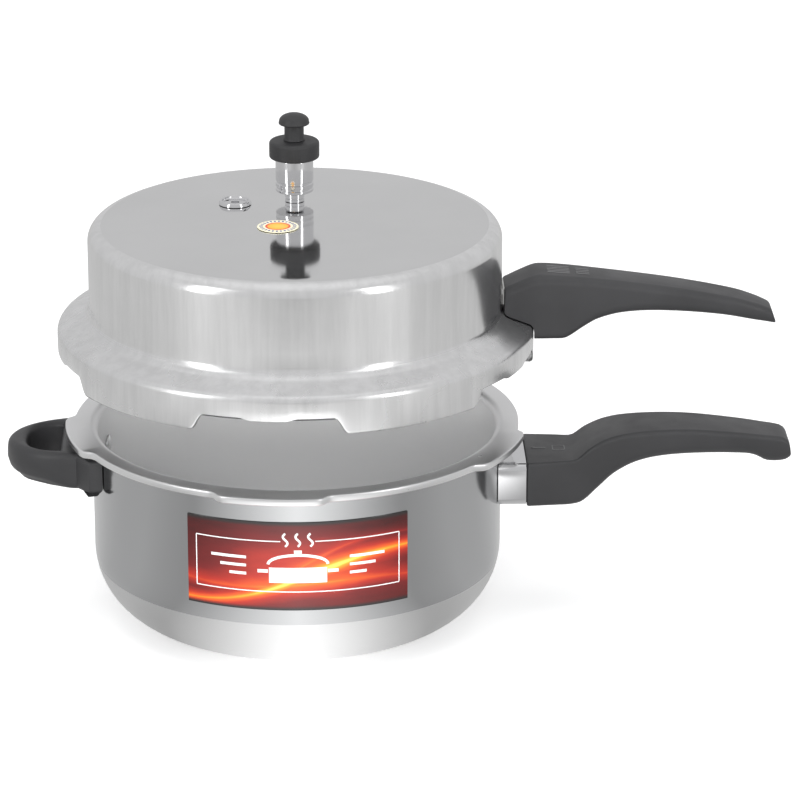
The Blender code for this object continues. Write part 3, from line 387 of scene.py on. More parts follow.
def label_print():
    """Dark red film with orange and yellow flame streaks and black edges, all in X and Z."""
    f = Finish("label_print_film", (0.4, 0.03, 0.02), 0.0, 0.16, Coat_Weight=0.4,
               Coat_Roughness=0.08)
    x, _, z = f.axes()
    half = (LABEL_HIGH.x - LABEL_LOW.x) / 2
    middle = (LABEL_HIGH.z + LABEL_LOW.z) / 2
    tall = (LABEL_HIGH.z - LABEL_LOW.z) / 2
    u = f.maths("DIVIDE", x, half)
    v = f.maths("DIVIDE", f.maths("SUBTRACT", z, middle), tall)
    # two crossing waves of flame, each a thin bright ridge in a wide glow
    glow = None
    for rise, bend, lift, width, strength in ((0.34, 2.2, -0.30, 0.16, 1.0),
                                              (-0.28, 1.7, -0.42, 0.22, 0.62),
                                              (0.55, 2.9, -0.05, 0.10, 0.35)):
        line = f.maths("ADD", f.maths("MULTIPLY", u, rise), lift)
        wave = f.maths("MULTIPLY", f.maths("SINE", f.maths("MULTIPLY", u, bend)), 0.28)
        away = f.maths("ABSOLUTE", f.maths("SUBTRACT", v, f.maths("ADD", line, wave)))
        ridge = f.maths("MULTIPLY", f.maths("POWER", 2.718, f.maths(
            "MULTIPLY", away, -1 / width)), strength)
        glow = ridge if glow is None else f.maths("MAXIMUM", glow, ridge)
    warm = f.maths("MULTIPLY", f.maths("POWER", 2.718, f.maths("MULTIPLY", f.maths(
        "ADD", f.maths("MULTIPLY", u, u), f.maths("MULTIPLY", v, v)), -1.7)), 0.42)
    silk = f.noise(26, 4, 0.5, (1, 1, 3.4))
    total = f.maths("ADD", f.maths("MULTIPLY", glow, 0.68), warm)
    total = f.maths("ADD", total, f.maths("MULTIPLY", f.maths("SUBTRACT", silk, 0.5), 0.30))
    flame = f.ramp(total, [(0.0, (0.045, 0.004, 0.004)), (0.22, (0.16, 0.008, 0.008)),
                           (0.42, (0.42, 0.022, 0.010)), (0.62, (0.75, 0.10, 0.012)),
                           (0.80, (0.92, 0.32, 0.02)), (0.97, (0.98, 0.78, 0.12))])
    border = f.sum_to(f.maths("ABSOLUTE", v), 0.90, 0.97, 0, 1)
    side = f.sum_to(f.maths("ABSOLUTE", u), 0.975, 0.99, 0, 1)
    rim = f.maths("MINIMUM", f.maths("MAXIMUM", border, side), 1)
    f.link(f.mix(rim, flame, (0.02, 0.015, 0.015)), "Base Color")
    f.link(f.sum_to(f.noise(60, 2), 0.3, 0.7, 0.13, 0.22), "Roughness")
    return f.material


def label_white():
    f = Finish("label_white_ink", (0.9, 0.9, 0.88), 0.0, 0.25)
    f.link(f.mix(f.noise(200, 2), (0.86, 0.86, 0.85), (0.93, 0.93, 0.92)), "Base Color")
    return f.material


def sticker_print():
    """A cream ring with blue ticks round an orange disc."""
    f = Finish("sticker_print", (0.85, 0.78, 0.5), 0.0, 0.35)
    radius, angle = f.distance_to_axis((STICKER.x, STICKER.y))
    outer = (STICKER_HIGH.x - STICKER_LOW.x) / 2
    share = f.maths("DIVIDE", radius, outer)
    tick = f.maths("GREATER_THAN", f.maths("SINE", f.maths("MULTIPLY", angle, 26)), 0.1)
    lane = f.maths("MULTIPLY", f.maths("GREATER_THAN", share, 0.72),
                   f.maths("LESS_THAN", share, 0.9))
    ink = f.maths("MULTIPLY", tick, lane)
    base = f.ramp(share, [(0.0, (0.95, 0.62, 0.10)), (0.46, (0.93, 0.48, 0.05)),
                          (0.56, (0.75, 0.04, 0.02)), (0.60, (0.75, 0.04, 0.02)),
                          (0.62, (0.92, 0.86, 0.60)), (1.0, (0.93, 0.88, 0.66))])
    f.link(f.mix(ink, base, (0.03, 0.06, 0.30)), "Base Color")
    f.bump((f.noise(400, 2), 0.05, 0.05 * MM))
    return f.material


WALL = polished_wall()
BASE = turned_lines("base_turned", (0.72, 0.72, 0.72), 0.36, 0.8, scale=1300)
INSIDE = turned_lines("inside_satin", (0.95, 0.95, 0.95), 0.40, 0.10, metallic=0.15)
RIM_METAL = satin_metal("rim_satin", (0.90, 0.90, 0.90), 0.30)
LID_METAL = turned_lines("lid_turned", (0.80, 0.80, 0.80), 0.075, 0.02, spread=0.02)
DOME_METAL = satin_metal("lid_dome_polish", (0.95, 0.95, 0.95), 0.20, 160, streaks=0.27)
SKIRT_METAL = satin_metal("lid_skirt_satin", (0.94, 0.94, 0.94), 0.28, streaks=0.32)
STEEL = turned_lines("bright_steel_turned", (0.76, 0.76, 0.77), 0.08, 0.04)
ZINC = satin_metal("zinc_plate", (0.62, 0.62, 0.60), 0.34)
RIVET = satin_metal("rivet_bright", (0.84, 0.84, 0.84), 0.16)
HANDLE = phenolic("handle_skin", (0.030, 0.030, 0.0315))
MARK = phenolic("handle_mark_skin", (0.095, 0.095, 0.097), 0.34)
KNOB = phenolic("weight_skin", (0.023, 0.023, 0.024), 0.46)
RUBBER = rubber_skin()
ALLOY = satin_metal("fusible_alloy_cast", (0.45, 0.45, 0.47), 0.5)
FILM = label_print()
WHITE_INK = label_white()
PAPER = sticker_print()


# ---------------------------------------------------------------- pan

def lug_offset(place):
    """Angle from a point to the middle of the nearest lug."""
    turns = (atan2(place.y, place.x) - LUG_FIRST) / LUG_PITCH
    return abs(turns - round(turns)) * LUG_PITCH


def smooth(share):
    share = min(1, max(0, share))
    return share * share * (3 - 2 * share)


def push_out(place, radius):
    """The same point at another distance from the axis."""
    now = hypot(place.x, place.y)
    return Vector((place.x * radius / now, place.y * radius / now, place.z))


def colour_faces(piece, materials, choose):
    """Gives each face the material that choose(centre, normal) picks."""
    for extra in materials[1:]:
        piece.data.materials.append(extra)
    for face in piece.data.polygons:
        face.material_index = choose(face.center, face.normal)


def make_pot():
    flat, inside = POT_RADIUS - BASE_CORNER, POT_RADIUS - POT_WALL
    under, ease, mouth, neck = RIM - RIM_THICKNESS, 1.1 * MM, 4.5 * MM, 3 * MM
    outline = [(0, 0)] + arc((flat, BASE_CORNER), BASE_CORNER, -90, 0, 18)
    outline += [(POT_RADIUS, RIM - 26 * MM)]
    outline += arc((POT_RADIUS + neck, under - neck), neck, 180, 90, 5)
    outline += arc((RIM_RADIUS - ease, under + ease), ease, -90, 0, 4)
    outline += arc((RIM_RADIUS - ease, RIM - ease), ease, 0, 90, 4)
    outline += arc((inside + mouth, RIM - mouth), mouth, 90, 180, 8)
    outline += arc((flat, BASE_CORNER), BASE_CORNER - POT_WALL, 0, -90, 18) + [(0, POT_WALL)]
    pot = turned("pan_shell", dense(outline, 5 * MM), WALL, steps=240, angle=40)

    def lug(place):
        radius = hypot(place.x, place.y)
        if radius < RIM_RADIUS - 6 * MM or place.z < under - MM:
            return place
        fade = 1 - smooth((lug_offset(place) - LUG_HALF) / LUG_END)
        share = smooth((radius - (RIM_RADIUS - 6 * MM)) / (4.5 * MM))
        return push_out(place, radius + (LUG_RADIUS - RIM_RADIUS) * fade * share)

    reshape(pot, lug)

    def pick(centre, normal):
        radius = hypot(centre.x, centre.y)
        outward = (centre.x * normal.x + centre.y * normal.y) / max(radius, 1e-6)
        if centre.z > under - neck * 0.7 and radius > inside + 0.4 * MM:
            return 3
        if radius < inside + 1.5 * MM and (outward < -0.02 or normal.z > 0.5):
            return 2
        return 1 if centre.z < BASE_BAND else 0

    colour_faces(pot, (WALL, BASE, INSIDE, RIM_METAL), pick)
    settle(pot, "pot", "pot_aluminium", "pot_body")


def rivet(name, node, angle, height, face, wall, shank, head, plates, body):
    """A rivet through a round wall: a domed head inside and a flat one outside."""
    under = -wall - head * head / (2 * (face - wall)) - 0.3 * MM
    dome = [(head * cos(radians(a)), under - 1.5 * MM * sin(radians(a))) for a in range(0, 90, 9)]
    outline = [(0, plates + 1.8 * MM), (head * 0.85, plates + 1.8 * MM),
               (head, plates + 1.3 * MM), (head, plates + 0.3 * MM), (shank, plates + 0.3 * MM),
               (shank, under), *dome, (0, under - 1.5 * MM)]
    piece = turned(name, outline, RIVET, steps=40)
    turn = Matrix.Rotation(angle, 4, "Z") @ Matrix.Rotation(pi / 2, 4, "Y")
    spot = Vector((face * cos(angle), face * sin(angle), height))
    piece.data.transform(Matrix.Translation(spot) @ turn)
    settle(piece, body, "rivet_aluminium", node)


# nodes, body, wall, shank and head radii
RIVETS = ((("body_rivet_front", "body_rivet_back", "helper_rivet_front", "helper_rivet_back"),
           "pot", POT_WALL, 2.5 * MM, 5 * MM),
          (("lid_rivet_front", "lid_rivet_back"), "lid", LID_WALL, 1.6 * MM, 2.7 * MM))
RIVETED_PLATE = 2.1 * MM                   # a bracket and the gap behind it


def make_rivets():
    for nodes, body, wall, shank, head in RIVETS:
        for node in nodes:
            low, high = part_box(node)
            middle = (low + high) / 2
            angle = Vector((middle.x, middle.y)).angle_signed(Vector((1, 0)))
            rivet(f"{node}_fine", node, angle, middle.z, POT_RADIUS, wall, shank, head,
                  RIVETED_PLATE, body)


# ---------------------------------------------------------------- lid

def lid_centres():
    """Centres of the skirt's bend and of the fillet at the dome's foot."""
    turn = pi / 2 - FLANGE_SLOPE
    bend = (SKIRT_OUTSIDE - SKIRT_BEND, LID_ZERO + 10.5 * MM)
    edge = (bend[0] + SKIRT_BEND * cos(turn), bend[1] + SKIRT_BEND * sin(turn))
    foot_r = POT_RADIUS + DOME_FOOT
    meet = foot_r - DOME_FOOT * cos(turn)
    foot_z = edge[1] + (edge[0] - meet) * tan(FLANGE_SLOPE) + DOME_FOOT * sin(turn)
    return bend, (foot_r, foot_z)


def lid_outline():
    """The sheet in its claw shape, from the lip up the outside, and back down the inside."""
    bottom, top = LID_LOW.z, LID_FACE
    slope = 90 - degrees(FLANGE_SLOPE)
    bend, foot = lid_centres()
    shoulder = (POT_RADIUS - DOME_SHOULDER, top - DOME_SHOULDER)
    lip = [(LIP_INSIDE, bottom + LID_WALL)]
    lip += arc((LIP_INSIDE + 0.6 * MM, bottom + 0.6 * MM), 0.6 * MM, 180, 270, 3)
    outline = lip + arc((SKIRT_OUTSIDE - 2 * MM, bottom + 2 * MM), 2 * MM, -90, 0, 6)
    outline += arc(bend, SKIRT_BEND, 0, slope, 8)
    outline += arc(foot, DOME_FOOT, 180 + slope, 180, 8)
    outline += arc(shoulder, DOME_SHOULDER, 0, 90, 14) + [(0, top)]
    outline += [(0, top - LID_WALL)] + arc(shoulder, DOME_SHOULDER - LID_WALL, 90, 0, 8)
    outline += arc(foot, DOME_FOOT + LID_WALL, 180, 180 + slope, 6)
    outline += arc(bend, SKIRT_BEND - LID_WALL, slope, 0, 4)
    outline += [(SKIRT_INSIDE, bottom + LID_WALL)]
    return outline, bend[1], foot[1]


def lid_cutter(gap):
    """The closed outer form of the lid with a gap round it, to cut what sits on the lid."""
    slope = 90 - degrees(FLANGE_SLOPE)
    bend, foot = lid_centres()
    low, high = LID_ZERO - 12 * MM, LID_FACE
    outline = [(0, low), (SKIRT_OUTSIDE + gap, low)]
    outline += arc(bend, SKIRT_BEND + gap, 0, slope, 8)
    outline += arc(foot, DOME_FOOT - gap, 180 + slope, 180, 8)
    outline += [(POT_RADIUS + gap, high), (0, high)]
    return turned("lid_cutter", outline, HANDLE, steps=256)


def make_lid():
    outline, bend_z, foot_z = lid_outline()
    lid = turned("lid_sheet", dense(outline, 7 * MM), DOME_METAL, steps=576, closed=True, angle=40)
    bottom, window = LID_LOW.z, LID_ZERO + 2 * MM
    bump_half, bump_drop = radians(5.5), 1.6 * MM

    def window_cut(place):
        if place.z > bend_z or hypot(place.x, place.y) < LIP_INSIDE - MM:
            return place
        offset, radius = lug_offset(place), hypot(place.x, place.y)
        rise = 1 - smooth((offset - CLAW_START + radians(0.4)) / radians(3.4))
        tuck = 1 - smooth((offset - CLAW_START - radians(1.4)) / radians(2.4))
        bump = bump_drop * smooth((bump_half - offset) / radians(3.0) + 0.5)
        lowest = bottom + (window - bottom) * rise - bump * rise
        share = (place.z - bottom) / (bend_z - bottom)
        place.z = lowest + share * (bend_z - lowest)
        inner = SKIRT_INSIDE - 0.1 * MM
        if radius < inner:
            place = push_out(place, radius + (inner - radius) * tuck)
        return place

    reshape(lid, window_cut)

    def pick(centre, normal):
        radius = hypot(centre.x, centre.y)
        if radius > POT_RADIUS + 2 * MM or centre.z < foot_z - 3 * MM:
            return 2
        return 1 if normal.z > 0.985 and radius < POT_RADIUS - DOME_SHOULDER * 0.9 else 0

    colour_faces(lid, (DOME_METAL, LID_METAL, SKIRT_METAL), pick)
    for name, centre, radius in (("vent", VENT, 4.3 * MM), ("safety", SAFETY, 5.3 * MM)):
        fresh()
        bpy.ops.mesh.primitive_cylinder_add(vertices=48, radius=radius, depth=12 * MM,
                                            location=centre)
        cutter = bpy.context.object
        hole = lid.modifiers.new(name, "BOOLEAN")
        hole.object = cutter
        hole.solver = "EXACT"
        apply_modifiers(lid)
        bpy.data.objects.remove(cutter)
    shade(lid, 40)
    settle(lid, "lid", "lid_aluminium", "lid_shell")


def make_sealing_ring():
    outside, inside = RING_HIGH.x, RING_HIGH.x - 12.4 * MM
    low, high = RING_LOW.z, RING_HIGH.z
    back = outside - 4 * MM
    outline = [(inside, low + 1.1 * MM), (inside + 0.6 * MM, low), (outside - MM, low),
               (outside, low + MM), (outside, low + 8.6 * MM), (outside - 2.4 * MM, low + 11 * MM),
               (inside + 0.6 * MM, high - 0.4 * MM), (inside, high - MM), (inside, high - 2.2 * MM),
               (back, high - 6.2 * MM), (back, low + 3.1 * MM), (inside, low + 2.2 * MM)]
    ring = turned("ring_rubber_body", outline, RUBBER, steps=180, closed=True)
    settle(ring, "gasket", "ring_rubber", "sealing_ring")


# ---------------------------------------------------------------- handles

def blend_value(stations, x):
    """A smooth curve through (x, value) points."""
    for i in range(len(stations) - 1):
        (x0, v0), (x1, v1) = stations[i], stations[i + 1]
        if x <= x1 or i == len(stations) - 2:
            before = stations[max(0, i - 1)]
            after = stations[min(len(stations) - 1, i + 2)]
            m0 = (v1 - before[1]) / max(x1 - before[0], 1e-9) * (x1 - x0)
            m1 = (after[1] - v0) / max(after[0] - x0, 1e-9) * (x1 - x0)
            t = min(1, max(0, (x - x0) / (x1 - x0)))
            return (v0 * (2 * t ** 3 - 3 * t * t + 1) + m0 * (t ** 3 - 2 * t * t + t)
                    + v1 * (3 * t * t - 2 * t ** 3) + m1 * (t ** 3 - t * t))


SECTION_ROUND = 0.5        # corner share of the unit section that the handles start from
SECTION_STEPS = 7


def section_points():
    """A unit square section in Y and Z with evenly rounded corners."""
    points = []
    for side, rise, start in ((1, 1, 0), (-1, 1, 90), (-1, -1, 180), (1, -1, 270)):
        centre = (side * (1 - SECTION_ROUND), rise * (1 - SECTION_ROUND))
        points += arc(centre, SECTION_ROUND, start, start + 90, SECTION_STEPS)
    return points


def set_corners(piece, centre_at, size_at, radii_at):
    """Gives a drawn bar its real corner radii: radii_at(x) is (top, low)."""

    def rule(place):
        width, height = size_at(place.x)
        middle = centre_at(place.x)
        u, v = place.y / width, (place.z - middle) / height
        top, low = radii_at(place.x)
        radius = min(top if v > 0 else low, width * 0.98, height * 0.98)
        across = max(0, (abs(u) - (1 - SECTION_ROUND)) / SECTION_ROUND)
        upward = max(0, (abs(v) - (1 - SECTION_ROUND)) / SECTION_ROUND)
        y = width - radius + radius * across
        z = height - radius + radius * upward
        return Vector((place.x, y if u > 0 else -y, middle + (z if v > 0 else -z)))

    reshape(piece, rule)


def drawn_bar(name, places, centre_at, size_at, finish):
    """A section drawn out along X: each step is an extrusion, then moved and sized."""
    fresh()
    ring = section_points()
    bpy.ops.mesh.primitive_circle_add(vertices=len(ring), radius=1, fill_type="NGON")
    piece = bpy.context.object
    piece.name = piece.data.name = name
    width, height = size_at(places[0])
    middle = centre_at(places[0])
    for vertex, (y, z) in zip(piece.data.vertices, ring):
        vertex.co = (places[0], y * width, middle + z * height)
    bpy.ops.object.mode_set(mode="EDIT")
    bpy.ops.mesh.select_all(action="SELECT")
    for here, there in zip(places, places[1:]):
        rise = centre_at(there) - centre_at(here)
        bpy.ops.mesh.extrude_region_move(
            TRANSFORM_OT_translate={"value": (there - here, 0, rise)})
        old, new = size_at(here), size_at(there)
        bpy.ops.transform.resize(value=(1, new[0] / old[0], new[1] / old[1]),
                                 center_override=(there, 0, centre_at(there)))
    bpy.ops.mesh.select_all(action="SELECT")
    bpy.ops.mesh.normals_make_consistent(inside=False)
    bpy.ops.object.mode_set(mode="OBJECT")
    piece.data.materials.append(finish)
    return piece


def handle_places(start, tip, step, rounding):
    """Stations along a handle, close together where its ends are rounded."""
    ends = [rounding * (1 - cos(radians(a))) for a in (0, 15, 30, 45, 60, 75, 90)]
    count = round((tip - start - 2 * rounding) / step)
    middle = [start + rounding + (tip - start - 2 * rounding) * i / count
              for i in range(1, count)]
    return [start + e for e in ends] + middle + [tip - e for e in reversed(ends)]


def end_share(x, start, tip, rounding, least):
    """How far a section is drawn in near the two ends."""
    near = min(x - start, tip - x)
    if near >= rounding:
        return 0.0
    return (1 - sqrt(max(0, 1 - (1 - near / rounding) ** 2))) * least


def long_handle(name, top, low, wide, zero, start, tip, radii, slant):
    """A long grip from its top, underside and width lines, in mm past the wall and from zero."""

    def both(x):
        mm = (x - POT_RADIUS) / MM
        return zero + blend_value(top, mm) * MM, zero + blend_value(low, mm) * MM

    rounding = 1.2 * MM

    def inset(x):
        return end_share(x, start, tip, rounding, rounding)

    def centre_at(x):
        high, under = both(x)
        return (high + under) / 2

    def size_at(x):
        high, under = both(x)
        mm = (x - POT_RADIUS) / MM
        return (blend_value(wide, mm) / 2 * MM - inset(x), (high - under) / 2 - inset(x))

    def radii_at(x):
        mm = (x - POT_RADIUS) / MM
        return tuple(blend_value(line, mm) * MM for line in radii)

    places = handle_places(start, tip, 2.0 * MM, rounding)
    handle = drawn_bar(name, places, centre_at, size_at, HANDLE)
    set_corners(handle, centre_at, size_at, radii_at)
    slope_from = tip - 24 * MM

    def lean(place):
        share = smooth((place.x - slope_from) / (tip - slope_from))
        place.x -= slant * share * (place.z - centre_at(tip) + 4 * MM)
        return place

    reshape(handle, lean)
    return handle


def carve(piece, kind, *cutters):
    """Cuts with primitives that are then removed."""
    for i, cutter in enumerate(cutters):
        step = piece.modifiers.new(f"cut_{i}", "BOOLEAN")
        step.object = cutter
        step.solver = kind
        apply_modifiers(piece)
        bpy.data.objects.remove(cutter)


def rod_cutter(radius, low, high, at=(0, 0), vertices=256):
    fresh()
    bpy.ops.mesh.primitive_cylinder_add(vertices=vertices, radius=radius, depth=high - low,
                                        location=(at[0], at[1], (low + high) / 2))
    return bpy.context.object


def block_cutter(low, high):
    fresh()
    low, high = Vector(low), Vector(high)
    bpy.ops.mesh.primitive_cube_add(size=1, location=(low + high) / 2)
    cutter = bpy.context.object
    cutter.data.transform(Matrix.Diagonal((*(high - low), 1)))
    return cutter


def make_body_handle():
    root = 13.3
    top = [(root, -19.0), (30, -18.8), (39, -18.6), (41.5, -17.2), (47, -12.7), (56, -8.0),
           (67, -5.3), (86, -3.9), (104, -4.2), (125, -6.2), (142, -8.4), (154, -10.2),
           (157.0, -12.5)]
    low = [(root, -44.1), (30, -44.4), (37, -44.5), (43.6, -43.2), (51.6, -36.6), (60.6, -28.7),
           (72, -22.7), (86, -19.6), (108, -18.6), (132, -19.5), (138, -21.0), (143.4, -23.9),
           (153, -24.0), (157.0, -21.5)]
    wide = [(root, 49), (30, 45), (39, 42.5), (56, 37.5), (86, 33.5), (130, 28.5), (157.0, 24.5)]
    start, tip = POT_RADIUS + root * MM, POT_RADIUS + 156.9 * MM
    radii = ([(root, 1.6), (39, 1.6), (60, 2.4), (150, 2.6)], [(root, 3), (39, 4), (60, 6), (150, 6)])
    handle = long_handle("pan_long_handle", top, low, wide, RIM, start, tip, radii, 0.16)
    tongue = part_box("body_bracket")
    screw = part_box("body_handle_screw")
    x = (screw[0].x + screw[1].x) / 2
    carve(handle, "EXACT",
          block_cutter((start - MM, -9.3 * MM, tongue_low("body") - 0.3 * MM),
                       (tongue[1].x + 0.3 * MM, 9.3 * MM, tongue_low("body") + 3.3 * MM)),
          rod_cutter(4.1 * MM, RIM - 60 * MM, screw[0].z + 2.9 * MM, (x, 0), 48),
          rod_cutter(4.5 * MM, screw[0].z + 2.8 * MM, screw[1].z + 1.4 * MM, (x, 0), 48))
    shade(handle, 38)
    settle(handle, "pot", "handle_phenolic", "body_handle")


def tongue_low(which):
    """Underside of a bracket's tongue."""
    return RIM - 34 * MM if which == "body" else LID_ZERO + 24.4 * MM


LID_GRIP_TOP = [(0.5, 33.4), (2.4, 34.3), (10, 37.8), (17, 40.6), (21, 41.0), (32, 40.3),
                (47, 38.8), (70, 36.0), (96, 32.2), (120, 27.6), (140, 22.8), (147, 19.6)]


def make_lid_handle():
    low = [(0.5, 5.6), (28, 5.6), (33, 5.7), (36.5, 7.3), (43, 11.5), (51, 15.7), (65.5, 19.0),
           (86, 19.6), (117, 17.1), (140, 12.8), (147, 11.4)]
    wide = [(0.5, 27.5), (20, 29.5), (33, 29.5), (55, 27), (96, 25.3), (130, 23.4), (147, 19)]
    start, tip = POT_RADIUS + 0.8 * MM, POT_RADIUS + 146.8 * MM
    radii = ([(0, 5), (20, 5), (50, 4.5), (146, 3.5)], [(0, 3), (33, 4), (60, 6), (146, 5)])
    handle = long_handle("lid_long_handle", LID_GRIP_TOP, low, wide, LID_ZERO, start, tip, radii, 0.34)
    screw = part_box("lid_handle_screw")
    x = (screw[0].x + screw[1].x) / 2
    carve(handle, "EXACT",
          lid_cutter(0.5 * MM),
          block_cutter((POT_RADIUS * 0.9, -9.3 * MM, LID_ZERO + 23.7 * MM),
                       (POT_RADIUS + 4.5 * MM, 9.3 * MM, LID_ZERO + 33.3 * MM)),
          block_cutter((POT_RADIUS, -6.8 * MM, LID_ZERO + 24.1 * MM),
                       (POT_RADIUS + 31.3 * MM, 6.8 * MM, LID_ZERO + 26.9 * MM)),
          rod_cutter(4.1 * MM, LID_ZERO - MM, screw[0].z + 2.9 * MM, (x, 0), 48),
          rod_cutter(4.5 * MM, screw[0].z + 2.8 * MM, screw[1].z + 1.4 * MM, (x, 0), 48))
    shade(handle, 38)
    settle(handle, "lid", "handle_phenolic", "lid_handle")


def helper_plan():
    """The loop's outline and its finger hole, in plan towards -X."""
    low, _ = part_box("helper_handle")
    seat, half_width, pad_half = POT_RADIUS + 5.0 * MM, 31 * MM, radians(20.5)
    pad, reach = POT_RADIUS + 8.7 * MM, -low.x
    shoulder = -sqrt(pad * pad - half_width * half_width) - 3 * MM
    foot = POT_RADIUS + 0.4 * MM
    inner = [(-seat * cos(a), seat * sin(a)) for a in
             (pad_half * 0.93 * (1 - i / 12) for i in range(25))]
    near = [(-foot * cos(a), -foot * sin(a)) for a in (pad_half * 0.94, pad_half)]
    near += [(-(pad - 3 * MM) * cos(pad_half * 0.995), -(pad - 3 * MM) * sin(pad_half * 0.995)),
             (-(pad - MM) * cos(pad_half * 0.965), -(pad - MM) * sin(pad_half * 0.965))]
    far = [(x, -y) for x, y in reversed(near)]
    loop = [(shoulder - (reach + shoulder) * sin(a), -half_width * cos(a))
            for a in (pi * i / 56 for i in range(57))]
    back = pad + 8 * MM
    hole_half, hole_reach = 21.5 * MM, reach - 11 * MM - back
    hole = []
    for i in range(49):
        a = pi * i / 48
        side = -hole_half * (abs(cos(a)) ** 0.8) * (1 if cos(a) > 0 else -1)
        hole.append((-back - hole_reach * max(0, sin(a)) ** 0.8, side))
    return inner + near + loop + far, hole, (shoulder, reach, half_width)


def make_helper_handle():
    low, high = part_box("helper_handle")
    outer, hole, (centre, reach, half_width) = helper_plan()
    curve = bpy.data.curves.new("helper_outline", "CURVE")
    curve.dimensions = "2D"
    curve.fill_mode = "BOTH"
    soft = 3.4 * MM
    curve.extrude = (high.z - low.z) / 2 - soft
    curve.bevel_depth = soft
    curve.offset = -soft
    curve.bevel_resolution = 7
    for points in (outer, hole):
        line = curve.splines.new("POLY")
        line.points.add(len(points) - 1)
        for spot, (x, y) in zip(line.points, points):
            spot.co = (x, y, 0, 1)
        line.use_cyclic_u = True
    piece = bpy.data.objects.new("helper_loop", curve)
    bpy.context.scene.collection.objects.link(piece)
    piece.location.z = (high.z + low.z) / 2
    fresh()
    piece.select_set(True)
    bpy.context.view_layer.objects.active = piece
    bpy.ops.object.convert(target="MESH")
    bpy.ops.object.transform_apply(location=True, rotation=True, scale=True)
    bpy.ops.object.mode_set(mode="EDIT")
    bpy.ops.mesh.select_all(action="SELECT")
    bpy.ops.mesh.remove_doubles(threshold=0.01 * MM)
    for height in (0.3, 0.5, 0.7):
        bpy.ops.mesh.select_all(action="SELECT")
        bpy.ops.mesh.bisect(plane_co=(0, 0, low.z + height * (high.z - low.z)),
                            plane_no=(0, 0, 1))
    bpy.ops.mesh.select_all(action="SELECT")
    bpy.ops.mesh.normals_make_consistent(inside=False)
    bpy.ops.object.mode_set(mode="OBJECT")
    piece = bpy.context.object
    middle, half_tall = (high.z + low.z) / 2, (high.z - low.z) / 2

    def bull_nose(place):
        """Rounds the outer rim of the loop, most at its far end, and eases its top."""
        along = max(0, centre - place.x) / (reach + centre)
        edge = hypot(along, place.y / half_width)
        out = smooth((edge - 0.80) / 0.2) * smooth(along / 0.55)
        level = min(1, abs(place.z - middle) / half_tall)
        deepest = 0.12 if place.z < middle else 0.05
        pull = deepest * out * (1 - sqrt(max(0, 1 - 0.96 * level * level)))
        if place.x < centre:
            place.x = centre + (place.x - centre) * (1 - pull)
            place.y *= 1 - pull
        if place.z < middle:
            place.z += 2.6 * MM * out
        return place

    reshape(piece, bull_nose)
    piece.data.materials.clear()
    piece.data.materials.append(HANDLE)
    shade(piece, 40)
    settle(piece, "pot", "handle_phenolic", "helper_handle")


# ---------------------------------------------------------------- marks on the handles

def plaques(name, bars, thickness, place_at, body, finish):
    """Thin raised bars, each (x, y, length, width) in mm, set on a surface by place_at."""
    shape = bmesh.new()
    for x, y, length, width in bars:
        strip(shape, [((x - length / 2) * MM, y * MM), ((x + length / 2) * MM, y * MM)],
              width * MM, thickness)
    bmesh.ops.subdivide_edges(shape, edges=[e for e in shape.edges if e.calc_length() > 3 * MM],
                              cuts=3)
    bmesh.ops.recalc_face_normals(shape, faces=shape.faces)
    mesh = bpy.data.meshes.new(name)
    shape.to_mesh(mesh)
    shape.free()
    piece = bpy.data.objects.new(name, mesh)
    bpy.context.scene.collection.objects.link(piece)
    mesh.materials.append(finish)
    reshape(piece, place_at)
    bpy.context.view_layer.update()
    settle(piece, body, "handle_phenolic")
    return piece


def make_handle_marks():
    """An arrow bar and a square on the pan's grip, and a plain grid of bars on the lid's."""
    root_top = RIM - 18.8 * MM

    def on_root(place):
        return Vector((place.x, place.z, root_top - place.y - 0.1 * MM))

    bars = [(131, 0, 7, 0.7), (127.8, 0.9, 2.2, 0.6)]
    bars += [(141.5, s * 3.2, 6.4, 0.6) for s in (-1, 1)]
    bars += [(141.5 + s * 3.2, 0, 0.6, 6.4) for s in (-1, 1)]
    plaques("grip_lock_marks", bars, 0.25 * MM, on_root, "pot", MARK)

    def on_lid_grip(place):
        x = (place.x - POT_RADIUS) / MM
        top = LID_ZERO + blend_value(LID_GRIP_TOP, x) * MM
        return Vector((place.x, place.z, top - place.y - 0.12 * MM))

    bars = [(140, y, 12, 1.3) for y in (-5.2, -2.6, 0, 2.6, 5.2)]
    bars += [(153, y, 7, 1.3) for y in (-4, -1.2, 1.6, 4.4)]
    plaques("lid_grip_marks", bars, 0.3 * MM, on_lid_grip, "lid", MARK)


# ---------------------------------------------------------------- valves and weight

def in_metres(outline):
    """An outline given in mm."""
    return [(radius * MM, height * MM) for radius, height in outline]


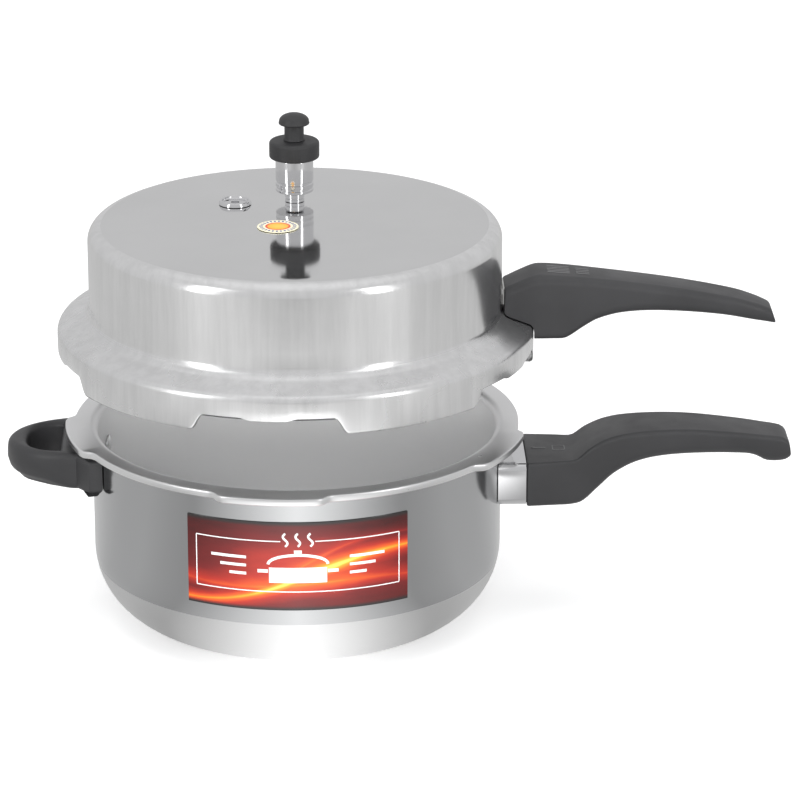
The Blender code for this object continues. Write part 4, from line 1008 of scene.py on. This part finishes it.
def make_weight():
    """Steel body with two grooves, black cap ring and mushroom knob, in mm above the lid."""
    steel = [(0, 21), (4, 21), (4, 24)]
    steel += arc((9.5, 23.3), 0.7, 90, 0, 4)
    for middle in (11.3, 8.1):
        steel += [(10.2, middle + 0.8), (9.75, middle + 0.45),
                  (9.75, middle - 0.45), (10.2, middle - 0.8)]
    steel += arc((9.5, 6.4), 0.7, 0, -90, 4)
    steel += [(4.1, 5.7), (4.1, 19.2), (0, 19.2)]
    body = turned("weight_steel", in_metres(steel), STEEL, VENT, 96)
    settle(body, "weight", "bright_steel", "weight_body")
    cap = [(4, 34)] + arc((11.6, 32.1), 1.9, 90, 0, 8)
    cap += arc((12.3, 25.5), 1.2, 0, -90, 6) + [(4, 24.3)]
    ring = turned("weight_cap_ring", in_metres(cap), KNOB, VENT, 96, True)
    settle(ring, "weight", "weight_phenolic", "weight_cap")
    knob = [(8.1 * sin(radians(a)), 44.6 + 4.3 * cos(radians(a))) for a in range(0, 85, 6)]
    knob += arc((7.5, 43.6), 0.8, 40, -90, 6)
    knob += arc((5.25 + 1.2, 41.6), 1.2, 90, 180, 4)
    knob += [(5.25, 35.2), (5.7, 34.3), (3.7, 34.3), (3.7, 21.3), (0, 21.3)]
    top = turned("weight_knob_top", in_metres(knob), KNOB, VENT, 96)
    settle(top, "weight", "weight_phenolic", "weight_knob")


def make_vent_and_safety():
    """The threaded vent pipe and the safety plug, in mm above the lid."""
    tube = [(1.7, 16), (2.5, 16), (3.5, 13), (3.5, 5.2), (4.9, 5.2), (5.25, 4.85), (5.25, 2.4),
            (4.95, 2.2), (4.95, 1.9), (5.25, 1.7), (5.25, 0.3), (4, 0.3)]
    for i in range(9):                     # thread
        tube += [(4, -0.6 - i), (3.7, -1.1 - i)]
    tube += [(3.9, -9.6), (1.7, -9.6)]
    pipe = turned("vent_pipe", in_metres(tube), STEEL, VENT, 64, True)
    settle(pipe, "lid", "bright_steel", "vent_tube")
    plug = [(2.2, 1.08), (6.3, 1.08), (6.9, 1.5)]
    plug += arc((7.6, 1.75), 0.65, 150, 10, 6)
    plug += [(8.75, 0.9), (8.75, 0.3), (5, 0.3), (5, -9.6), (2.2, -9.6)]
    body = turned("safety_plug_body", in_metres(plug), STEEL, SAFETY, 64, True)
    settle(body, "lid", "bright_steel", "safety_plug")


def make_fine_hardware():
    for node, body, slot, finish, width in (
            ("body_ferrule", "pot", "bright_steel", STEEL, 0.5 * MM),
            ("body_bracket", "pot", "zinc_steel", ZINC, 0.3 * MM),
            ("helper_bracket", "pot", "zinc_steel", ZINC, 0.3 * MM),
            ("lid_bracket", "lid", "zinc_steel", ZINC, 0.3 * MM),
            ("vent_nut", "lid", "zinc_steel", ZINC, 0.3 * MM),
            ("safety_nut", "lid", "zinc_steel", ZINC, 0.3 * MM)):
        settle(refined(node, finish, width), body, slot, node)
    for node, finish in (("body_handle_screw", ZINC), ("body_handle_nut", ZINC),
                         ("lid_handle_screw", ZINC), ("lid_handle_nut", ZINC),
                         ("helper_screw", ZINC), ("vent_washer", RUBBER),
                         ("safety_washer", RUBBER), ("fusible_insert", ALLOY),
                         ("weight_needle", STEEL)):
        NODES[node].data.materials.clear()
        NODES[node].data.materials.append(finish)


# ---------------------------------------------------------------- label and sticker

def wrap(place, lift=0.0):
    """Bends a flat point (x along the wall, z up) round the front of the pan."""
    radius = POT_RADIUS + 0.3 * MM + lift - place.y
    angle = place.x / POT_RADIUS
    return Vector((radius * sin(angle), -radius * cos(angle), place.z))


def flat_sheet(name, centre, size, thickness, finish, columns, rows):
    """A thin sheet in X and Z with its back at y 0, ready to be bent."""
    fresh()
    bpy.ops.mesh.primitive_grid_add(x_subdivisions=columns, y_subdivisions=rows, size=1,
                                    rotation=(pi / 2, 0, 0))
    sheet = bpy.context.object
    bpy.ops.object.transform_apply(location=True, rotation=True, scale=True)
    sheet.name = sheet.data.name = name
    sheet.data.transform(Matrix.Translation((centre[0], 0, centre[1]))
                         @ Matrix.Diagonal((size[0], 1, size[1], 1)))
    bpy.ops.object.mode_set(mode="EDIT")
    bpy.ops.mesh.select_all(action="SELECT")
    bpy.ops.mesh.extrude_region_move(TRANSFORM_OT_translate={"value": (0, -thickness, 0)})
    bpy.ops.mesh.select_all(action="SELECT")
    bpy.ops.mesh.normals_make_consistent(inside=False)
    bpy.ops.object.mode_set(mode="OBJECT")
    sheet.data.materials.append(finish)
    return sheet


def make_label():
    wide = 119.5 * MM
    middle = (LABEL_HIGH.z + LABEL_LOW.z) / 2
    tall = LABEL_HIGH.z - LABEL_LOW.z
    film = flat_sheet("label_film", (0, middle), (wide, tall), 0.25 * MM, FILM, 96, 2)
    reshape(film, wrap)
    shade(film, 40)
    settle(film, "pot", "label_print", "front_label")
    make_label_motif(middle)


def stroke(points, width):
    """A flat stroke along points in X and Z, as corners of a strip."""
    left, right = [], []
    for i, (x, z) in enumerate(points):
        a, b = points[max(0, i - 1)], points[min(len(points) - 1, i + 1)]
        along = Vector((b[0] - a[0], b[1] - a[1])).normalized()
        side = Vector((-along.y, along.x)) * width / 2
        left.append((x + side.x, z + side.y))
        right.append((x - side.x, z - side.y))
    return left, right


def strip(shape, points, width, thickness):
    """Adds a closed strip of that thickness to a bmesh."""
    left, right = stroke(points, width)
    rows = []
    for (lx, lz), (rx, rz) in zip(left, right):
        rows.append([shape.verts.new((lx, 0, lz)), shape.verts.new((rx, 0, rz)),
                     shape.verts.new((rx, -thickness, rz)), shape.verts.new((lx, -thickness, lz))])
    for a, b in zip(rows, rows[1:]):
        for i in range(4):
            shape.faces.new((a[i], a[(i + 1) % 4], b[(i + 1) % 4], b[i]))
    shape.faces.new(rows[0])
    shape.faces.new(rows[-1])


def line(a, b, parts=24):
    return [(a[0] + (b[0] - a[0]) * i / parts, a[1] + (b[1] - a[1]) * i / parts)
            for i in range(parts + 1)]


def motif(name, strips, thickness, lift, finish, middle, slot, body="pot"):
    shape = bmesh.new()
    for points, width in strips:
        strip(shape, [(x * MM, z * MM + middle) for x, z in points], width * MM, thickness)
    bmesh.ops.recalc_face_normals(shape, faces=shape.faces)
    mesh = bpy.data.meshes.new(name)
    shape.to_mesh(mesh)
    shape.free()
    piece = bpy.data.objects.new(name, mesh)
    bpy.context.scene.collection.objects.link(piece)
    mesh.materials.append(finish)
    reshape(piece, lambda place: wrap(place, lift))
    settle(piece, body, slot)
    return piece


def make_label_motif(middle):
    """A thin frame round a plain drawing of a lidded pan with three curls of steam."""
    frame_x, frame_z, hair = 54.5, 14.0, 0.55
    strips = [(line((-frame_x, frame_z), (-9, frame_z)), hair),
              (line((9, frame_z), (frame_x, frame_z)), hair),
              (line((-frame_x, -frame_z), (frame_x, -frame_z), 48), hair),
              (line((-frame_x, -frame_z), (-frame_x, frame_z), 4), hair),
              (line((frame_x, -frame_z), (frame_x, frame_z), 4), hair)]
    # pan body: filled by wide strokes, lid arc, knob and two side grips
    strips += [(line((-15, -4.8), (15, -4.8)), 8.4)]
    strips += [([(15.5 * cos(radians(a)), 1.2 + 5.2 * sin(radians(a))) for a in
                 range(180, -1, -10)], 1.5)]
    strips += [(line((-2, 8.2), (2, 8.2), 3), 1.8)]
    strips += [(line((s * 15.5, -2.6), (s * 21, -2.6), 4), 1.8) for s in (-1, 1)]
    for x in (-6.5, 0, 6.5):
        curl = [(x + 1.2 * sin(i / 12 * 2 * pi), 11.2 + i / 12 * 7.2) for i in range(13)]
        strips.append((curl, 1.1))
    for s in (-1, 1):
        for k, z in enumerate((4.5, 0, -4.5)):
            strips.append((line((s * 27, z), (s * (46 - 5 * k), z), 10), 1.5))
    motif("label_motif", strips, 0.05 * MM, 0.26 * MM, WHITE_INK, middle, "label_print")


def make_sticker():
    outer = (STICKER_HIGH.x - STICKER_LOW.x) / 2
    low = STICKER_LOW.z - LID_FACE
    outline = [(0, low + 0.25 * MM), (outer - 0.15 * MM, low + 0.25 * MM),
               (outer, low + 0.12 * MM), (outer, low), (0, low)]
    disc = turned("sticker_disc", outline, PAPER, STICKER, 72)
    settle(disc, "lid", "sticker_paper", "test_sticker")


# ---------------------------------------------------------------- stage

def mirrored_sweep(f):
    """Brightness of the floor as metal sees it: soft upright bands near the pan."""
    x, y, _ = f.axes()
    turn = f.maths("DIVIDE", f.maths("ABSOLUTE", f.maths("ARCTAN2", x, f.maths(
        "MULTIPLY", y, -1))), pi)
    near, away = (f.ramp(turn, [(share, (level / 2,) * 3) for share, level in levels])
                  for levels in (FLOOR_NEAR, FLOOR_FAR))
    radius, _ = f.distance_to_axis()
    far = f.sum_to(radius, 0.42, 0.60, 0, 1)
    return f.mix(far, near, away)


def make_stage():
    """A white sweep. What the metal mirrors of it is grey, as in a tent of grey cloth."""
    fresh()
    bpy.ops.mesh.primitive_plane_add(size=24, location=(0, 0, 0))
    floor = bpy.context.object
    floor.name = "studio_floor"
    f = Finish("studio_white", (0.93, 0.93, 0.93), 0.0, 0.8, Specular_IOR_Level=0.0)
    f.link(f.mix(f.noise(3, 2), (0.92, 0.92, 0.92), (0.94, 0.94, 0.94)), "Base Color")
    f.set("Emission Color", (1, 1, 1, 1))
    f.set("Emission Strength", FLOOR_GLOW)
    mirrored = f.add("ShaderNodeEmission")
    f.link(mirrored_sweep(f), mirrored.inputs["Color"])
    mirrored.inputs["Strength"].default_value = 2.0
    choose = f.add("ShaderNodeMixShader")
    f.link(f.add("ShaderNodeLightPath").outputs["Is Camera Ray"], choose.inputs["Fac"])
    f.link(mirrored.outputs["Emission"], choose.inputs[1])
    f.link(f.shader.outputs["BSDF"], choose.inputs[2])
    out = [node for node in f.tree.nodes if node.type == "OUTPUT_MATERIAL"][0]
    f.link(choose.outputs["Shader"], out.inputs["Surface"])
    floor.data.materials.append(f.material)


def soft_box(name, place, aim, size, radiance, mirrored=True):
    """A soft box this bright. Metal may mirror it, or only be lit by it."""
    lamp = bpy.data.lights.new(name, "AREA")
    lamp.shape = "RECTANGLE"
    lamp.size, lamp.size_y = size
    lamp.energy = radiance * pi * size[0] * size[1]
    box = bpy.data.objects.new(name, lamp)
    bpy.context.scene.collection.objects.link(box)
    box.location = place
    box.rotation_euler = (Vector(aim) - Vector(place)).to_track_quat("-Z", "Y").to_euler()
    box.visible_glossy = mirrored


def make_air():
    """Grey air that gets brighter overhead."""
    world = bpy.data.worlds.new("studio_air")
    bpy.context.scene.world = world
    world.use_nodes = True
    tree = world.node_tree
    air = tree.nodes["Background"]
    place = tree.nodes.new("ShaderNodeTexCoord")
    split = tree.nodes.new("ShaderNodeSeparateXYZ")
    ramp = tree.nodes.new("ShaderNodeValToRGB")
    tree.links.new(place.outputs["Generated"], split.inputs["Vector"])
    tree.links.new(split.outputs["Z"], ramp.inputs["Fac"])
    tree.links.new(ramp.outputs["Color"], air.inputs["Color"])
    for _ in range(2):
        ramp.color_ramp.elements.new(0.5)
    for element, (height, level) in zip(ramp.color_ramp.elements, AIR_LEVELS):
        element.position = height
        element.color = (level, level, level * 1.01, 1)
    air.inputs["Strength"].default_value = 1.0


def make_lights():
    centre = (0.05, 0, 0.12)
    soft_box("top", (0.0, -0.5, 1.7), centre, (1.4, 0.7), 1.6, mirrored=False)
    soft_box("left", (-1.25, -1.0, 0.75), centre, (0.35, 1.3), 2.5)
    soft_box("right", (1.2, -1.2, 0.75), centre, (0.30, 1.3), 2.5)
    soft_box("front", (0.0, -2.0, 0.66), centre, (1.1, 0.75), 8.5, mirrored=False)
    soft_box("low", (0.0, -2.2, 0.46), centre, (0.9, 0.34), 11.0, mirrored=False)
    soft_box("overhead", (0.0, 0.1, 2.2), centre, (1.8, 1.4), 1.6, mirrored=False)
    make_air()
    bpy.context.scene.view_settings.view_transform = "Standard"


def make_camera():
    """A long lens at the height of a table-top product shot."""
    tilt, away = radians(19.8), 2.2
    target = Vector((0.0558, 0.003, RIM + 8.3 * MM))
    camera = bpy.data.objects.new("camera", bpy.data.cameras.new("camera"))
    bpy.context.scene.collection.objects.link(camera)
    camera.location = (0, -away * cos(tilt), RIM + away * sin(tilt))
    camera.rotation_euler = (target - camera.location).to_track_quat("-Z", "Y").to_euler()
    camera.data.lens = 183.6
    camera.data.sensor_width = 36
    camera.data.clip_end = 50
    bpy.context.scene.camera = camera


make_camera()
make_stage()
make_lights()
make_pot()
make_rivets()
make_lid()
make_sealing_ring()
make_body_handle()
make_lid_handle()
make_helper_handle()
make_weight()
make_vent_and_safety()
make_fine_hardware()
make_handle_marks()
make_label()
make_sticker()
